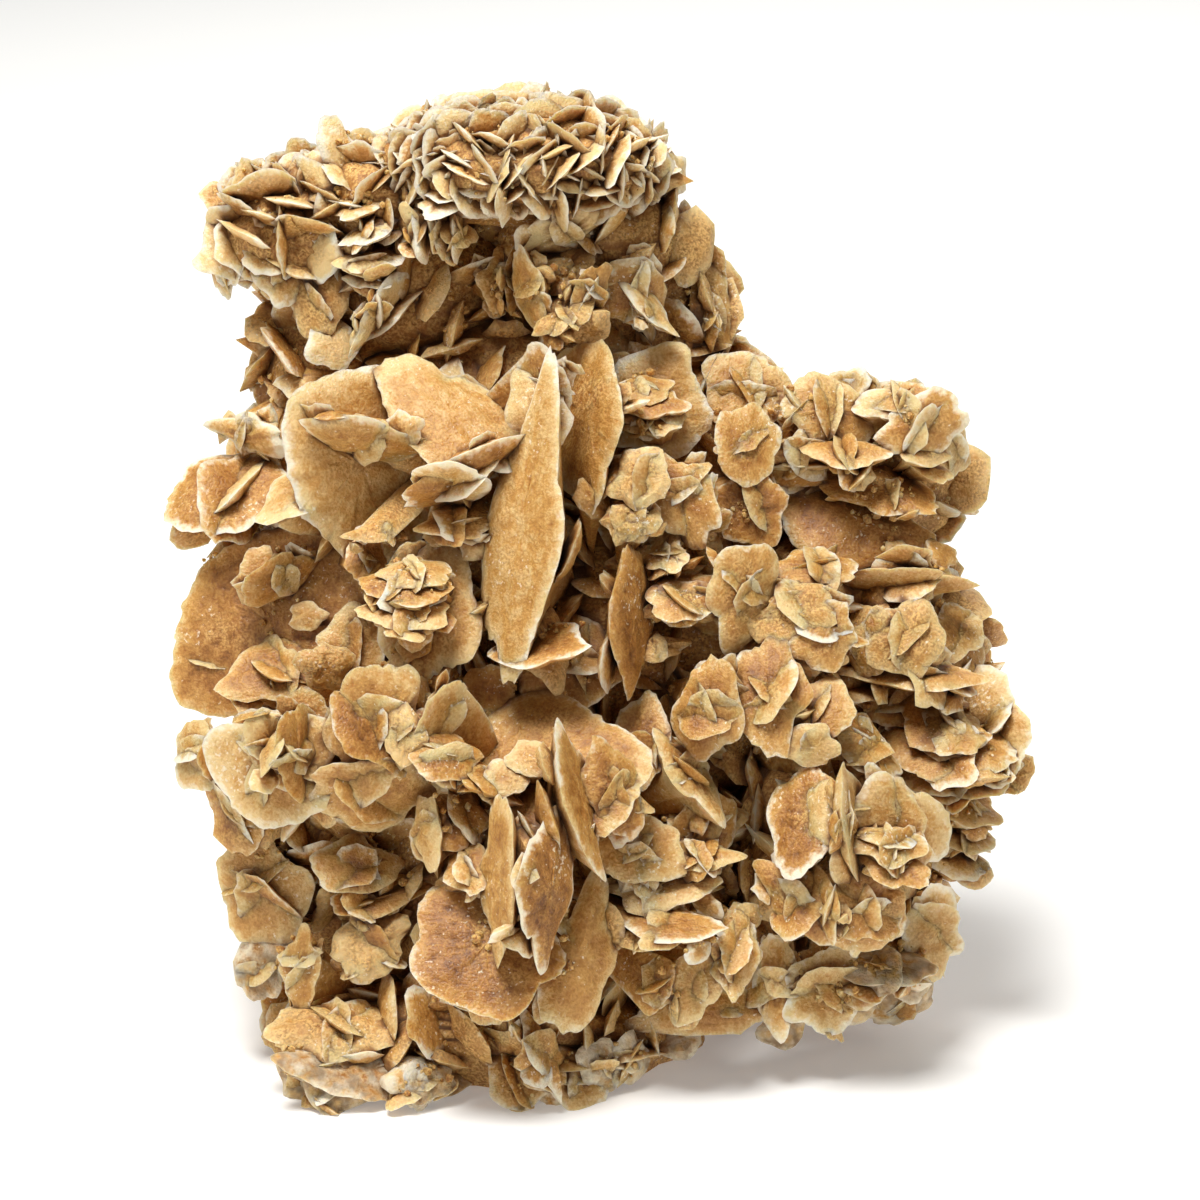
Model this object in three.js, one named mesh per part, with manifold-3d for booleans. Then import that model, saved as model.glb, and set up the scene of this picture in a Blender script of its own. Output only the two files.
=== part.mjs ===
// Gypsum sand rose: flat lens-shaped gypsum crystals grown through one another and through
// the sand between them. One piece: a crown of small blades, roses on the flanks, a broken
// flat base. Millimetres, +Z up, front towards -Y.
import * as THREE from "three";
import { mergeVertices } from "three/addons/utils/BufferGeometryUtils.js";
import Module from "manifold-3d";

const wasm = await Module();
wasm.setup();

// Driving dimensions.
const viewElevation = 18;           // degrees above level, the side the front crystals are laid out from
const viewDistance = 900;           // from the eye to the middle of the cluster
const middleHeight = 84;            // the middle of the cluster above the face it rests on
const boxMiddle = [-0.1, -4.4];     // across and deep, brings the origin under the middle of the box
const thinnest = 0.6;               // half the thickness of the smallest blade
const thickening = 0.1;             // added half thickness per millimetre of blade size
const rootFree = 2;                 // a crystal nearer than this to the sandy mass needs no root
const rootGrip = 4;                 // how far a root reaches into the sandy mass
const lyingShare = 0.5;             // a blade lies across its way in when its facing holds this share of it
const backRoot = 6;                 // how far behind its middle a back plate is rooted
const outlineWaves = [2, 3, 5];     // swells around the outline of a blade
const outlineDepth = [0.03, 0.09];  // shallowest and deepest swell, as a share of the half size
const hexagonFrom = 11;             // half length from which a blade has six sides, below it five
const heptagonFrom = 15;            // half length from which it has seven
const lobeSides = 6;
const lobeRings = 4;
const groundSpan = 400;             // the block under the resting plane that levels the base
const groundDepth = 200;
const honey = "#c08a4e";
const waxyRoughness = 0.65;

// The front crystals, as seen from the front: the middle (across, up, out towards the eye),
// the way the flat side faces (right, up, out), half length, half width, and the lean of the
// long way in degrees from level.
const crownBlades = [
  [[-35.8, 74, 24], [0.9, 0.1, 0.4], 7.6, 4, 97],
  [[-7, 74.4, 22], [0.25, -0.6, 0.75], 10, 5.5, 20],
  [[-45, 58, 20], [0.82, -0.45, 0.35], 9.2, 4, 60],
  [[-63.4, 65.6, 14], [0.25, 0.05, 0.95], 7, 5.6, 75],
  [[-75.6, 69, 4], [-0.75, -0.1, 0.6], 9, 5, 110],
  [[-58.4, 83.4, 13], [-0.1, 0.25, 0.96], 7.4, 6.8, 60],
];
const shoulderBlades = [
  [[-66, 46, -1], [-0.55, 0, 0.83], 8.4, 5, 90],
  [[20, 57.6, 2], [0.2, 0.05, 0.97], 9.6, 8, 95],
  [[-13.6, 62, 24], [-0.75, -0.2, 0.6], 9, 5, 105],
  [[-7, 56.6, 26], [-0.2, 0.6, 0.75], 7.6, 4, 25],
];
const heartBlades = [
  [[-49, 27, 22], [0.1, 0.15, 0.98], 19.6, 15, 100],
  [[-47, 32, 30], [-0.1, -0.75, 0.65], 12, 9, -12],
  [[-30.4, 36, 27], [0.05, 0.35, 0.93], 18, 11.5, -55],
  [[-27.6, 25, 36], [0.45, -0.55, 0.7], 13.6, 9, 40],
  [[-27.6, 15, 32], [0, 0.8, 0.6], 9, 5, 5],
  [[-73.6, 20.6, 8], [-0.25, 0.6, 0.75], 13.5, 11, 170],
  [[-70, 33, 9], [-0.2, -0.35, 0.9], 8.4, 4.4, -5],
  [[-64, -5, 10], [-0.25, 0.1, 0.96], 19.5, 21, 100],
  [[-64, 4.4, 19], [0.45, -0.6, 0.65], 8.4, 6, 36],
  [[-64, -14, 17], [-0.15, 0.5, 0.85], 12, 8, 25],
  [[-49, -9, 20], [0.1, 0.1, 0.98], 7.6, 7, 60],
  [[-33.6, -3, 31], [0.3, 0.1, 0.95], 15.6, 9.6, 80],
  [[-39, 2, 39], [0.05, 0.8, 0.6], 9.6, 6, 10],
  [[-39, -2.4, 40], [0.05, 0.8, 0.6], 9.6, 6, 14],
  [[-37, 5, 38], [0.05, 0.8, 0.6], 8, 5, 20],
  [[-16, 14, 36], [-0.65, 0, 0.76], 33, 15, 80],
  [[-11, 43, 32], [-0.35, -0.15, 0.92], 9.6, 8.6, 60],
  [[-0.4, 36, 28], [-0.8, 0.05, 0.6], 17, 8, 88],
  [[11, 39, 15], [0.1, -0.2, 0.97], 11, 10.6, 0],
  [[10, 39, 22], [0, 0.7, 0.7], 7.6, 4.5, 0],
  [[17, 20, 26], [-0.35, -0.2, 0.9], 10.4, 6.6, 115],
  [[29, 41, 8], [0.2, 0.1, 0.97], 9.2, 8.6, 30],
  [[29, 31, 19], [0.15, 0.25, 0.95], 8, 7.2, 70],
  [[30, 18.4, 18], [0.2, 0.2, 0.95], 7.6, 7.4, 60],
  [[5.6, -3, 30], [0.85, 0, 0.5], 15.6, 8, 92],
  [[17, 0, 28], [0.1, 0.65, 0.75], 9, 6, 28],
  [[28.4, 1.4, 29], [0.1, 0.05, 0.99], 10, 8, 75],
  [[-6, -12, 22], [0, 0.5, 0.85], 11.6, 9, 0],
];
const rightBlades = [
  [[45.6, 37.6, 12], [-0.15, 0.35, 0.92], 9.6, 7, -10],
  [[51, 41, 7], [0, 0.5, 0.85], 7.6, 4.7, 0],
  [[60.6, 39, 11], [0.1, 0.7, 0.7], 10, 6, 28],
  [[64.4, 35, 14], [0.2, -0.35, 0.9], 9.6, 6.4, 15],
  [[49, 29, 16], [0, 0.8, 0.55], 9, 5.5, 0],
  [[57, 20.6, 10], [0.1, 0.75, 0.6], 11, 6, -12],
  [[50, 15, 8], [0.1, 0.15, 0.98], 16, 9.4, -10],
  [[43, 6, 20], [0, 0.8, 0.6], 10, 6, -8],
  [[61.4, 3.4, 13], [0, -0.9, 0.42], 11.6, 7.5, 0],
  [[37, -2.4, 28], [-0.1, 0.3, 0.95], 10, 7.4, 10],
  [[61, -8, 20], [0.1, 0.1, 0.98], 7.8, 7.4, 45],
  [[72, -8, 5], [0.4, 0.3, 0.85], 8, 7.5, 110],
  [[63, -15.6, 17], [0, 0.85, 0.5], 14.4, 6.5, 0],
  [[34, -19, 33], [-0.1, 0.1, 0.98], 11.6, 7.6, 90],
  [[78, -25, 9], [-0.5, -0.1, 0.85], 11, 9, 115],
  [[71, -31, 16], [-0.05, 0.75, 0.65], 12.4, 7.5, 8],
  [[73, -35.6, 11], [-0.05, 0.75, 0.65], 12.4, 7, 12],
  [[69.6, -27.6, 17], [0, 0.7, 0.7], 8, 5, 5],
  [[62, -21, 8], [0, 0.3, 0.95], 12, 6, 0],
  [[53.6, -30.4, 25], [0.5, 0.6, 0.6], 9, 5.5, -40],
  [[73, -42, 4], [0.3, 0.8, 0.5], 7, 7, 0],
  [[72, -47, 3], [0.3, 0.8, 0.5], 7, 7, 4],
  [[70, -51, 2], [0.3, 0.8, 0.5], 7.5, 7, -4],
  [[41.6, -44, 36], [-0.2, 0.05, 0.98], 12, 8, 95],
  [[40, -60, 34], [-0.15, -0.2, 0.95], 11, 6, -50],
  [[48.6, -43.6, 42], [0.95, 0.1, 0.25], 11.6, 6, 98],
  [[58.6, -45, 33], [0.15, 0.1, 0.98], 11.6, 9.6, -10],
  [[57.6, -49, 40], [0.05, 0.65, 0.75], 8, 5, 8],
  [[59, -53.6, 40], [0.3, 0.4, 0.85], 7.6, 4.5, -35],
  [[52.4, -62, 36], [-0.15, -0.3, 0.93], 9, 8.6, -20],
  [[35.6, -77, 22], [-0.2, 0.1, 0.97], 10.4, 5.5, 100],
  [[45, -78, 23], [0.1, 0.3, 0.95], 9, 8, 30],
  [[57.6, -74, 22], [0, 0.9, 0.4], 9.4, 7, 0],
  [[66, -66, 14], [0.55, 0, 0.83], 10, 7, 92],
];
const lowLeftBlades = [
  [[-64.6, -33, 34], [-0.15, 0.25, 0.95], 12.6, 12.6, 60],
  [[-61.8, -29.6, 42], [0.85, -0.1, 0.5], 10, 5.8, 74],
  [[-80, -31.4, 20], [-0.4, 0.1, 0.9], 7.2, 6.4, 90],
  [[-72, -42, 24], [-0.2, -0.3, 0.93], 8, 8, 0],
  [[-45, -25.6, 40], [-0.1, 0.05, 0.99], 13.4, 9.4, 75],
  [[-31, -31.4, 44], [0.1, 0.35, 0.93], 7.8, 6, 20],
  [[-46, -37.6, 36], [0, -0.3, 0.95], 13.6, 9, -5],
  [[-67, -58, 18], [-0.35, 0, 0.93], 11, 9.5, 92],
  [[-49, -53.6, 27], [0.05, 0.45, 0.88], 9.8, 5.8, 12],
  [[-59.6, -74, 24], [-0.3, 0.1, 0.95], 9.4, 4.4, 85],
  [[-46, -69, 26], [0.2, 0.5, 0.85], 8.6, 6.5, 30],
  [[-53, -86, 27], [0, 0.7, 0.7], 13, 8, -5],
  [[-46, -95, 29], [0, 0.45, 0.9], 18, 8, 3],
];
const lowMiddleBlades = [
  [[-8, -34, 36], [0, 0.3, 0.95], 19, 16, -40],
  [[-5.4, -40, 48], [0.88, 0.28, 0.38], 16.4, 8, -72],
  [[2.4, -38, 44], [0.5, 0.1, 0.85], 10.4, 6, -70],
  [[-19, -55.6, 48], [-0.85, 0, 0.5], 17, 8, 84],
  [[-11.4, -57.6, 52], [0.45, 0.05, 0.88], 17.6, 8, 82],
  [[-23, -70, 41], [-0.05, 0.25, 0.96], 15, 13.4, -15],
  [[-4.4, -72, 39], [0.35, 0.05, 0.93], 16, 8, 78],
  [[8, -50, 35], [0.1, 0.4, 0.9], 9.2, 7, 10],
  [[20, -51.6, 32], [0, 0.85, 0.5], 8.4, 5, 10],
  [[12, -58, 33], [0, 0.6, 0.8], 11.6, 6, 0],
  [[8.6, -28.4, 26], [-0.25, 0.1, 0.96], 10.4, 6.2, 90],
  [[17.6, -35, 29], [0.5, 0.2, 0.85], 12.4, 5.5, -62],
  [[21.6, -22, 34], [-0.1, -0.15, 0.98], 11, 7, 85],
  [[13.6, -66, 38], [0, 0.85, 0.5], 11, 6, -8],
  [[19, -77, 34], [0.25, 0, 0.97], 9, 5.2, 80],
  [[27, -70.4, 33], [0.25, 0, 0.97], 9.8, 5, 85],
  [[26, -82.4, 20], [0, -0.3, 0.95], 8, 4.5, 0],
  [[-16, -96, 30], [0, 0.3, 0.95], 7, 6.4, 0],
  [[-5, -96, 28], [0, 0.3, 0.95], 7, 6.4, 0],
  [[-11.8, -90.4, 34], [0.85, 0.35, 0.4], 10.4, 5, -68],
];

// The sand-filled mass that the crystals grew in: lobes as middle and half sizes
// (across, up, out), all but hidden by the crystals.
const crownMass = [[-15, 87, 12], [30, 14.6, 24]];
const crownLobeMass = [[-61, 75, 6], [15.5, 15.5, 14.5]];
const lobes = [
  crownMass,
  crownLobeMass,
  [[-15, -56, 0], [42, 32, 27]],
  [[-52, -42, 0], [20, 30, 20]],
  [[46, -50, -2], [22, 26, 22]],
  [[-8, -8, -8], [46, 34, 24]],
  [[44, -8, -4], [24, 24, 20]],
  [[64, -20, -8], [14, 26, 14]],
  [[54, 24, -10], [18, 16, 13]],
  [[-24, 36, -6], [36, 32, 20]],
  [[-60, 8, -8], [15, 32, 14]],
  [[18, 24, -8], [22, 28, 18]],
  [[-38, 62, 0], [26, 17, 14]],
  [[8, 60, -4], [17, 14, 12]],
  [[-2, 72, 6], [20, 12, 13]],
  [[-56, 50, -1], [12, 15, 11]],
  [[-22, -88, -2], [44, 16, 32]],
  [[-5, -62, -22], [50, 34, 34]],
  [[-8, -80, -28], [44, 24, 30]],
  [[0, -10, -14], [52, 42, 32]],
  [[-18, 42, -17], [38, 30, 24]],
];

// Small blades stand on edge all over the crown, but for its underside.
const crown = { lobe: crownMass, count: 54, blade: [5, 7.5], seed: 11 };
const crownLobe = { lobe: crownLobeMass, count: 22, blade: [5.5, 8], seed: 23 };
const crownBladeWidth = 0.75;       // as a share of the length
const crownUnderside = -0.6;        // as a share of the way from the middle of the crown up

// Plates and roses on the back, each laid on the mass behind a place of the front view:
// across, up, half size, and the petals that stand on the plate.
const plateWidth = 0.8;             // as a share of the plate's half size, like the petal's sizes below
const plateTip = [0.15, 0.5];       // least and most lean against the mass, radians
const petalLength = 0.7;
const petalWidth = 0.5;
const petalRise = 0.2;
const petalTip = 1.2;
const backRoses = [
  [-44, 62, 13, 1],
  [-14, 64, 12, 1],
  [12, 60, 11, 1],
  [-50, 38, 14, 1],
  [-22, 44, 18, 2],
  [10, 38, 14, 1],
  [30, 32, 12, 0],
  [55, 28, 13, 1],
  [-63, 14, 14, 1],
  [-38, 18, 15, 0],
  [-8, 18, 17, 1],
  [24, 10, 16, 2],
  [50, 6, 15, 1],
  [-64, -14, 13, 0],
  [-34, -12, 18, 2],
  [0, -14, 17, 1],
  [32, -18, 16, 0],
  [62, -18, 15, 1],
  [-60, -42, 15, 1],
  [-30, -38, 16, 0],
  [4, -40, 19, 2],
  [34, -44, 15, 1],
  [58, -46, 14, 0],
  [-42, -58, 15, 1],
  [-14, -56, 14, 0],
  [16, -58, 15, 1],
];

const elevation = THREE.MathUtils.degToRad(viewElevation);

// Repeatable dice, so that every build gives the same stone.
function makeDice(seed) {
  let state = seed * 7919;
  return () => {
    state = (state * 16807) % 2147483647;
    return state / 2147483647;
  };
}

function between([least, most], share) {
  return least + (most - least) * share;
}

// Each front crystal has dice of its own, set by its place.
function seedAt([across, up, out]) {
  return Math.round(6000 + 37 * across + 11 * up + 5 * out);
}

// From the front view's directions (right, up, out) to the stone's own frame.
function turn(right, up, out) {
  return new THREE.Vector3(
    right,
    up * Math.sin(elevation) - out * Math.cos(elevation),
    up * Math.cos(elevation) + out * Math.sin(elevation),
  );
}

// From the front view's places to the stone's own frame: what is nearer the eye is smaller
// than it looks.
function nearness(out) {
  return 1 - out / viewDistance;
}
function place(across, up, out) {
  const scale = nearness(out);
  const spot = turn(across * scale, up * scale, out);
  return spot.add(new THREE.Vector3(-boxMiddle[0], -boxMiddle[1], middleHeight));
}

function solidOf(geometry) {
  geometry.deleteAttribute("normal");
  geometry.deleteAttribute("uv");
  const merged = mergeVertices(geometry);
  const vertProperties = Float32Array.from(merged.attributes.position.array);
  const triVerts = Uint32Array.from(merged.index.array);
  return new wasm.Manifold(new wasm.Mesh({ numProp: 3, vertProperties, triVerts }));
}

// The uneven outline of a blade, as a share of its half sizes.
function makeOutline(seed) {
  const dice = makeDice(seed);
  const waves = outlineWaves.map((count) => {
    const depth = between(outlineDepth, dice());
    return { count, depth, phase: 2 * Math.PI * dice() };
  });
  return (angle) => waves.reduce((sum, w) => sum + w.depth * Math.cos(w.count * angle + w.phase), 1);
}

function sidesFor(halfLength) {
  if (halfLength < hexagonFrom) return 5;
  return halfLength < heptagonFrom ? 6 : 7;
}

// How far a place is from a lobe's middle, as a share of the way to its skin.
function depthIn([middle, half], spot) {
  return Math.hypot(...spot.map((value, axis) => (value - middle[axis]) / half[axis]));
}

// The shortest way from a crystal's middle into the sandy mass.
function wayIn(spot) {
  const ways = lobes.map((lobe) => {
    const way = turn(...lobe[0].map((value, axis) => value - spot[axis]));
    return way.multiplyScalar(1 - 1 / depthIn(lobe, spot));
  });
  return ways.reduce((best, way) => (way.length() < best.length() ? way : best));
}

// Draws the back of a crystal into the mass behind it: the peak of the far side of one that
// lies across the way in, or the inner half of the outline of one that stands along it.
function rootLens(lens, way) {
  const gap = way.length();
  if (gap < rootFree) return;
  const spots = lens.attributes.position;
  const lying = Math.abs(way.z) > lyingShare * gap;
  const reach = way.clone().multiplyScalar(1 + rootGrip / gap);
  for (let i = 0; i < spots.count; i += 1) {
    const spot = new THREE.Vector3().fromBufferAttribute(spots, i);
    if (lying && spot.z * way.z > 0) spot.copy(reach);
    const inner = (spot.x * way.x + spot.y * way.y) / (gap * spot.length());
    const rim = spot.z === 0;
    if (!lying && rim && inner > 0) spot.addScaledVector(new THREE.Vector3(reach.x, reach.y, 0), inner);
    spots.setXYZ(i, spot.x, spot.y, spot.z);
  }
}

// One lens-shaped crystal: two low many-sided pyramids base to base.
function makeBlade(middle, faces, along, halfLength, halfWidth, seed, way = new THREE.Vector3()) {
  const halfThickness = thinnest + thickening * Math.sqrt(halfLength * halfWidth);
  const sides = sidesFor(halfLength);
  const roundness = Math.sqrt(1 / Math.cos(Math.PI / sides));
  const outline = makeOutline(seed);
  const lens = new THREE.SphereGeometry(1, sides, 2);
  lens.rotateX(Math.PI / 2);
  const spots = lens.attributes.position;
  for (let i = 0; i < spots.count; i += 1) {
    const pole = Math.abs(spots.getZ(i)) > 0.5;
    const reach = roundness * outline(Math.atan2(spots.getY(i), spots.getX(i)));
    const x = pole ? 0 : spots.getX(i) * reach * halfLength;
    const y = pole ? 0 : spots.getY(i) * reach * halfWidth;
    spots.setXYZ(i, x, y, pole ? Math.sign(spots.getZ(i)) * halfThickness : 0);
  }
  const normal = faces.clone().normalize();
  const length = along.clone().addScaledVector(normal, -along.dot(normal)).normalize();
  const width = new THREE.Vector3().crossVectors(normal, length);
  rootLens(lens, new THREE.Vector3(way.dot(length), way.dot(width), way.dot(normal)));
  lens.applyMatrix4(new THREE.Matrix4().makeBasis(length, width, normal).setPosition(middle));
  return solidOf(lens);
}

function makeLobe([middle, half]) {
  const lobe = new THREE.SphereGeometry(1, lobeSides, lobeRings);
  lobe.scale(...half);
  const viewAxes = [turn(1, 0, 0), turn(0, 1, 0), turn(0, 0, 1)];
  lobe.applyMatrix4(new THREE.Matrix4().makeBasis(...viewAxes).setPosition(place(...middle)));
  return solidOf(lobe);
}

function makeFrontBlades() {
  const rows = [
    ...crownBlades,
    ...shoulderBlades,
    ...heartBlades,
    ...rightBlades,
    ...lowLeftBlades,
    ...lowMiddleBlades,
  ];
  return rows.map(([middle, faces, halfLength, halfWidth, lean]) => {
    const angle = THREE.MathUtils.degToRad(lean);
    const along = turn(Math.cos(angle), Math.sin(angle), 0);
    const scale = nearness(middle[2]);
    const normal = turn(...faces);
    const size = [halfLength * scale, halfWidth * scale];
    return makeBlade(place(...middle), normal, along, ...size, seedAt(middle), wayIn(middle));
  });
}

// Even spots over a ball, as directions (right, up, out).
function ballSpots(count) {
  const goldenTurn = Math.PI * (3 - Math.sqrt(5));
  return Array.from({ length: count }, (_, i) => {
    const up = 1 - (2 * (i + 0.5)) / count;
    const round = Math.sqrt(1 - up * up);
    return [round * Math.cos(goldenTurn * i), up, round * Math.sin(goldenTurn * i)];
  });
}

// Blades on edge over an egg-shaped cluster: each one's plane holds the way outwards.
function makeCluster({ lobe: [middle, half], count, blade, seed }) {
  const dice = makeDice(seed);
  const blades = [];
  ballSpots(count).forEach((spot, index) => {
    const roll = Math.PI * dice();
    const size = between(blade, dice());
    if (spot[1] < crownUnderside) return;
    const outward = turn(...spot.map((value, axis) => value / half[axis])).normalize();
    const level = new THREE.Vector3(0, 0, 1).cross(outward).normalize();
    const faces = level.applyAxisAngle(outward, roll);
    const along = new THREE.Vector3().crossVectors(outward, faces);
    const centre = place(...spot.map((value, axis) => middle[axis] + value * half[axis]));
    blades.push(makeBlade(centre, faces, along, size, size * crownBladeWidth, seed * 100 + index));
  });
  return blades;
}

// The skin of the mass behind a place of the front view, and the way out of it.
function skinBehind(across, up) {
  const skins = lobes.flatMap(([middle, half]) => {
    const x = (across - middle[0]) / half[0];
    const y = (up - middle[1]) / half[1];
    const z = -Math.sqrt(1 - x * x - y * y);
    if (Number.isNaN(z)) return [];
    const outward = turn(x / half[0], y / half[1], z / half[2]).normalize();
    return [{ out: middle[2] + z * half[2], outward }];
  });
  return skins.reduce((back, skin) => (skin.out < back.out ? skin : back));
}

// A plate on the back with its petals standing across it.
function makeBackRose([across, up, size, petals]) {
  const { out, outward } = skinBehind(across, up);
  const spot = [across, up, out];
  const middle = place(...spot);
  const dice = makeDice(seedAt(spot));
  const level = new THREE.Vector3(0, 0, 1).cross(outward).normalize();
  const firstTurn = Math.PI * dice();
  const standing = (angle, tip) => {
    const side = level.clone().applyAxisAngle(outward, angle);
    const faces = outward.clone().multiplyScalar(Math.cos(tip)).addScaledVector(side, Math.sin(tip));
    return { faces, along: new THREE.Vector3().crossVectors(outward, side) };
  };
  const root = outward.clone().multiplyScalar(-backRoot);
  const plate = standing(firstTurn, between(plateTip, dice()));
  const blades = [makeBlade(middle, plate.faces, plate.along, size, plateWidth * size, seedAt(spot), root)];
  for (let k = 0; k < petals; k += 1) {
    const petal = standing(firstTurn + (Math.PI * (k + 0.5 * dice())) / petals, petalTip);
    const centre = middle.clone().addScaledVector(outward, petalRise * size);
    const sizes = [petalLength * size, petalWidth * size];
    blades.push(makeBlade(centre, petal.faces, petal.along, ...sizes, seedAt(spot) + k + 1, root));
  }
  return blades;
}

function makeRose() {
  const crystals = [
    ...lobes.map(makeLobe),
    ...makeFrontBlades(),
    ...makeCluster(crown),
    ...makeCluster(crownLobe),
    ...backRoses.flatMap(makeBackRose),
  ];
  const grown = crystals.reduce((whole, crystal) => whole.add(crystal));
  const ground = new THREE.BoxGeometry(groundSpan, groundSpan, groundDepth);
  ground.translate(0, 0, -groundDepth / 2);
  const rested = grown.subtract(solidOf(ground));
  // The outer skin alone: pockets closed in between the crystals are filled with sand.
  const skins = rested.decompose();
  return skins.reduce((best, skin) => (skin.volume() > best.volume() ? skin : best));
}

function toGeometry(solid) {
  const { vertProperties, triVerts } = solid.getMesh();
  const geometry = new THREE.BufferGeometry();
  geometry.setAttribute("position", new THREE.BufferAttribute(vertProperties, 3));
  geometry.setIndex(new THREE.BufferAttribute(triVerts, 1));
  geometry.computeVertexNormals();
  return geometry;
}

const gypsum = new THREE.MeshStandardMaterial({ color: honey, roughness: waxyRoughness, metalness: 0 });
const sandRose = new THREE.Mesh(toGeometry(makeRose()), gypsum);
sandRose.name = "sand_rose";

const stone = new THREE.Group();
stone.add(sandRose);

export default stone;
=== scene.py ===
import math
import random

import bmesh
import bpy
import numpy as np
from mathutils import Matrix, Vector
from mathutils.bvhtree import BVHTree


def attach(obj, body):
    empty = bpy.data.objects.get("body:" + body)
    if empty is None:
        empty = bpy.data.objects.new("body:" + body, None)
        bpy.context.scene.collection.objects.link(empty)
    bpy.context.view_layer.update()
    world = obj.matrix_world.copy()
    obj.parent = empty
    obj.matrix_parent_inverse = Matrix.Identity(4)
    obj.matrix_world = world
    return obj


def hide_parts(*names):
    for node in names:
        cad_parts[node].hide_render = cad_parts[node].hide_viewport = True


# Gypsum sand rose: lens-shaped crystals grown through one another and through sand.
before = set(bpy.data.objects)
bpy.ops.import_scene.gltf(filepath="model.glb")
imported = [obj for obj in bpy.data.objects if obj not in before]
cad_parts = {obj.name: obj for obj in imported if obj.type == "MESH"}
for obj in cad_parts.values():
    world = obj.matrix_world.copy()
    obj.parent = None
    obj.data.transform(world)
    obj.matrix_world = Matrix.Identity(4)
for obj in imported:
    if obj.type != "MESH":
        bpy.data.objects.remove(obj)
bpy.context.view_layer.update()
mm = 0.001

view = {
    "elevation": math.radians(18),  # the photo looks down on the stone a little
    "distance": 0.9,
    "middle": Vector((0.0001, 0.0044, 0.084)), # middle of the stone, the crystals are laid out around it
    "lens": 135,
    "sensor": 36,
}

# Front crystals in mm as seen by the camera: middle (across, up, towards the eye), the way the
# flat side faces (right, up, towards the eye), half length, half width, lean in degrees, kind.
crownBlades = [
    (-35.8, 74, 24, 0.9, 0.1, 0.4, 7.6, 4, 97, "rime"),
    (-32.6, 73.4, 25, 0.85, 0.35, 0.4, 6.2, 3.6, 70, "rime"),
    (-28.8, 73.4, 25, 0.98, 0.05, 0.2, 6.6, 4, 92, "rime"),
    (-18.4, 81.4, 28, 0.98, 0, 0.2, 6.4, 4, 90, "rime"),
    (-26.4, 81.6, 26, 0, 0.8, 0.6, 6.8, 4, 14, "rime"),
    (-7, 74.4, 22, 0.25, -0.6, 0.75, 10, 5.5, 20, "rime"),
    (2.4, 84, 20, 0.7, 0, 0.7, 5.2, 4, 85, "rime"),
    (7.4, 83.6, 17, 0.7, 0, 0.7, 5.2, 4, 85, "rime"),
    (11, 84.4, 13, 0.7, 0, 0.7, 5.2, 4, 85, "rime"),
    (14.4, 85, 9, 0.7, 0, 0.7, 5.2, 4, 85, "rime"),
    (-48.2, 78, 21, -0.3, 0.85, 0.4, 4.8, 4, 32, "rime"),
    (-46, 73.6, 21, -0.3, 0.8, 0.5, 6.6, 4.5, 30, "rime"),
    (-46.6, 67.6, 20, 0, 0.85, 0.5, 6.6, 4.5, 8, "rime"),
    (-45.6, 64, 19, 0, 0.8, 0.55, 5.6, 4, 15, "rime"),
    (-45, 58, 20, 0.82, -0.45, 0.35, 9.2, 4, 60, "rime"),
    (-56.4, 59, 14, -0.1, 0.1, 0.98, 6.6, 6, 80, "sand"),
    (-53.6, 51, 14, 0, -0.15, 0.98, 5.2, 5, 0, "rime"),
    (-63.4, 65.6, 14, 0.25, 0.05, 0.95, 7, 5.6, 75, "rime"),
    (-72, 70, 10, 0.4, 0.1, 0.9, 6.6, 4, -55, "rime"),
    (-75.6, 69, 4, -0.75, -0.1, 0.6, 9, 5, 110, "rime"),
    (-76, 80.6, 6, -0.3, 0.3, 0.9, 3.6, 3.4, 0, "rime"),
    (-61.6, 75, 16, 0.3, -0.3, 0.9, 6.4, 4.5, -28, "rime"),
    (-58.4, 83.4, 13, -0.1, 0.25, 0.96, 7.4, 6.8, 60, "rime"),
    (-49.2, 86, 14, 0.35, 0.15, 0.92, 6.8, 4.5, 90, "rime"),
    (-64.8, 85.6, 8, -0.3, 0.3, 0.9, 3.6, 3.4, 0, "rime"),
    (-55, 83.6, 17, 0.3, 0.6, 0.7, 2.8, 2, -40, "rime"),
    (-56, 80.6, 17.5, 0, 0.7, 0.7, 2.4, 2, -10, "rime"),
]
shoulderBlades = [
    (-20, 63.4, 15, 0.25, 0, 0.95, 6.6, 4.8, 85, "honey"),
    (-17.6, 63, 17, 0.9, 0, 0.4, 6.6, 4, 98, "honey"),
    (-65, 51, 0, -0.5, 0, 0.85, 5, 4.8, 90, "honey"),
    (-66, 46, -1, -0.55, 0, 0.83, 8.4, 5, 90, "honey"),
    (4, 71, 4, 0.2, 0.4, 0.9, 5, 4.5, 0, "honey"),
    (6.4, 62, 17, 0.1, -0.35, 0.93, 6.6, 7, 90, "frost"),
    (10, 57.6, 20, 0.55, 0.65, 0.5, 6.8, 4, -42, "frost"),
    (20, 57.6, 2, 0.2, 0.05, 0.97, 9.6, 8, 95, "honey"),
    (22.2, 55, 6, -0.9, 0, 0.4, 5.6, 3, 85, "honey"),
    (-13.6, 62, 24, -0.75, -0.2, 0.6, 9, 5, 105, "honey"),
    (-2, 62, 25, 0.6, -0.35, 0.7, 6.6, 4.5, 60, "honey"),
    (-8, 65, 21, 0, 0.5, 0.85, 5.6, 5, 0, "sand"),
    (-7, 56.6, 26, -0.2, 0.6, 0.75, 7.6, 4, 25, "sand"),
    (-2, 54.4, 24, 0.2, -0.4, 0.9, 5, 3.5, 30, "sand"),
]
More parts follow.
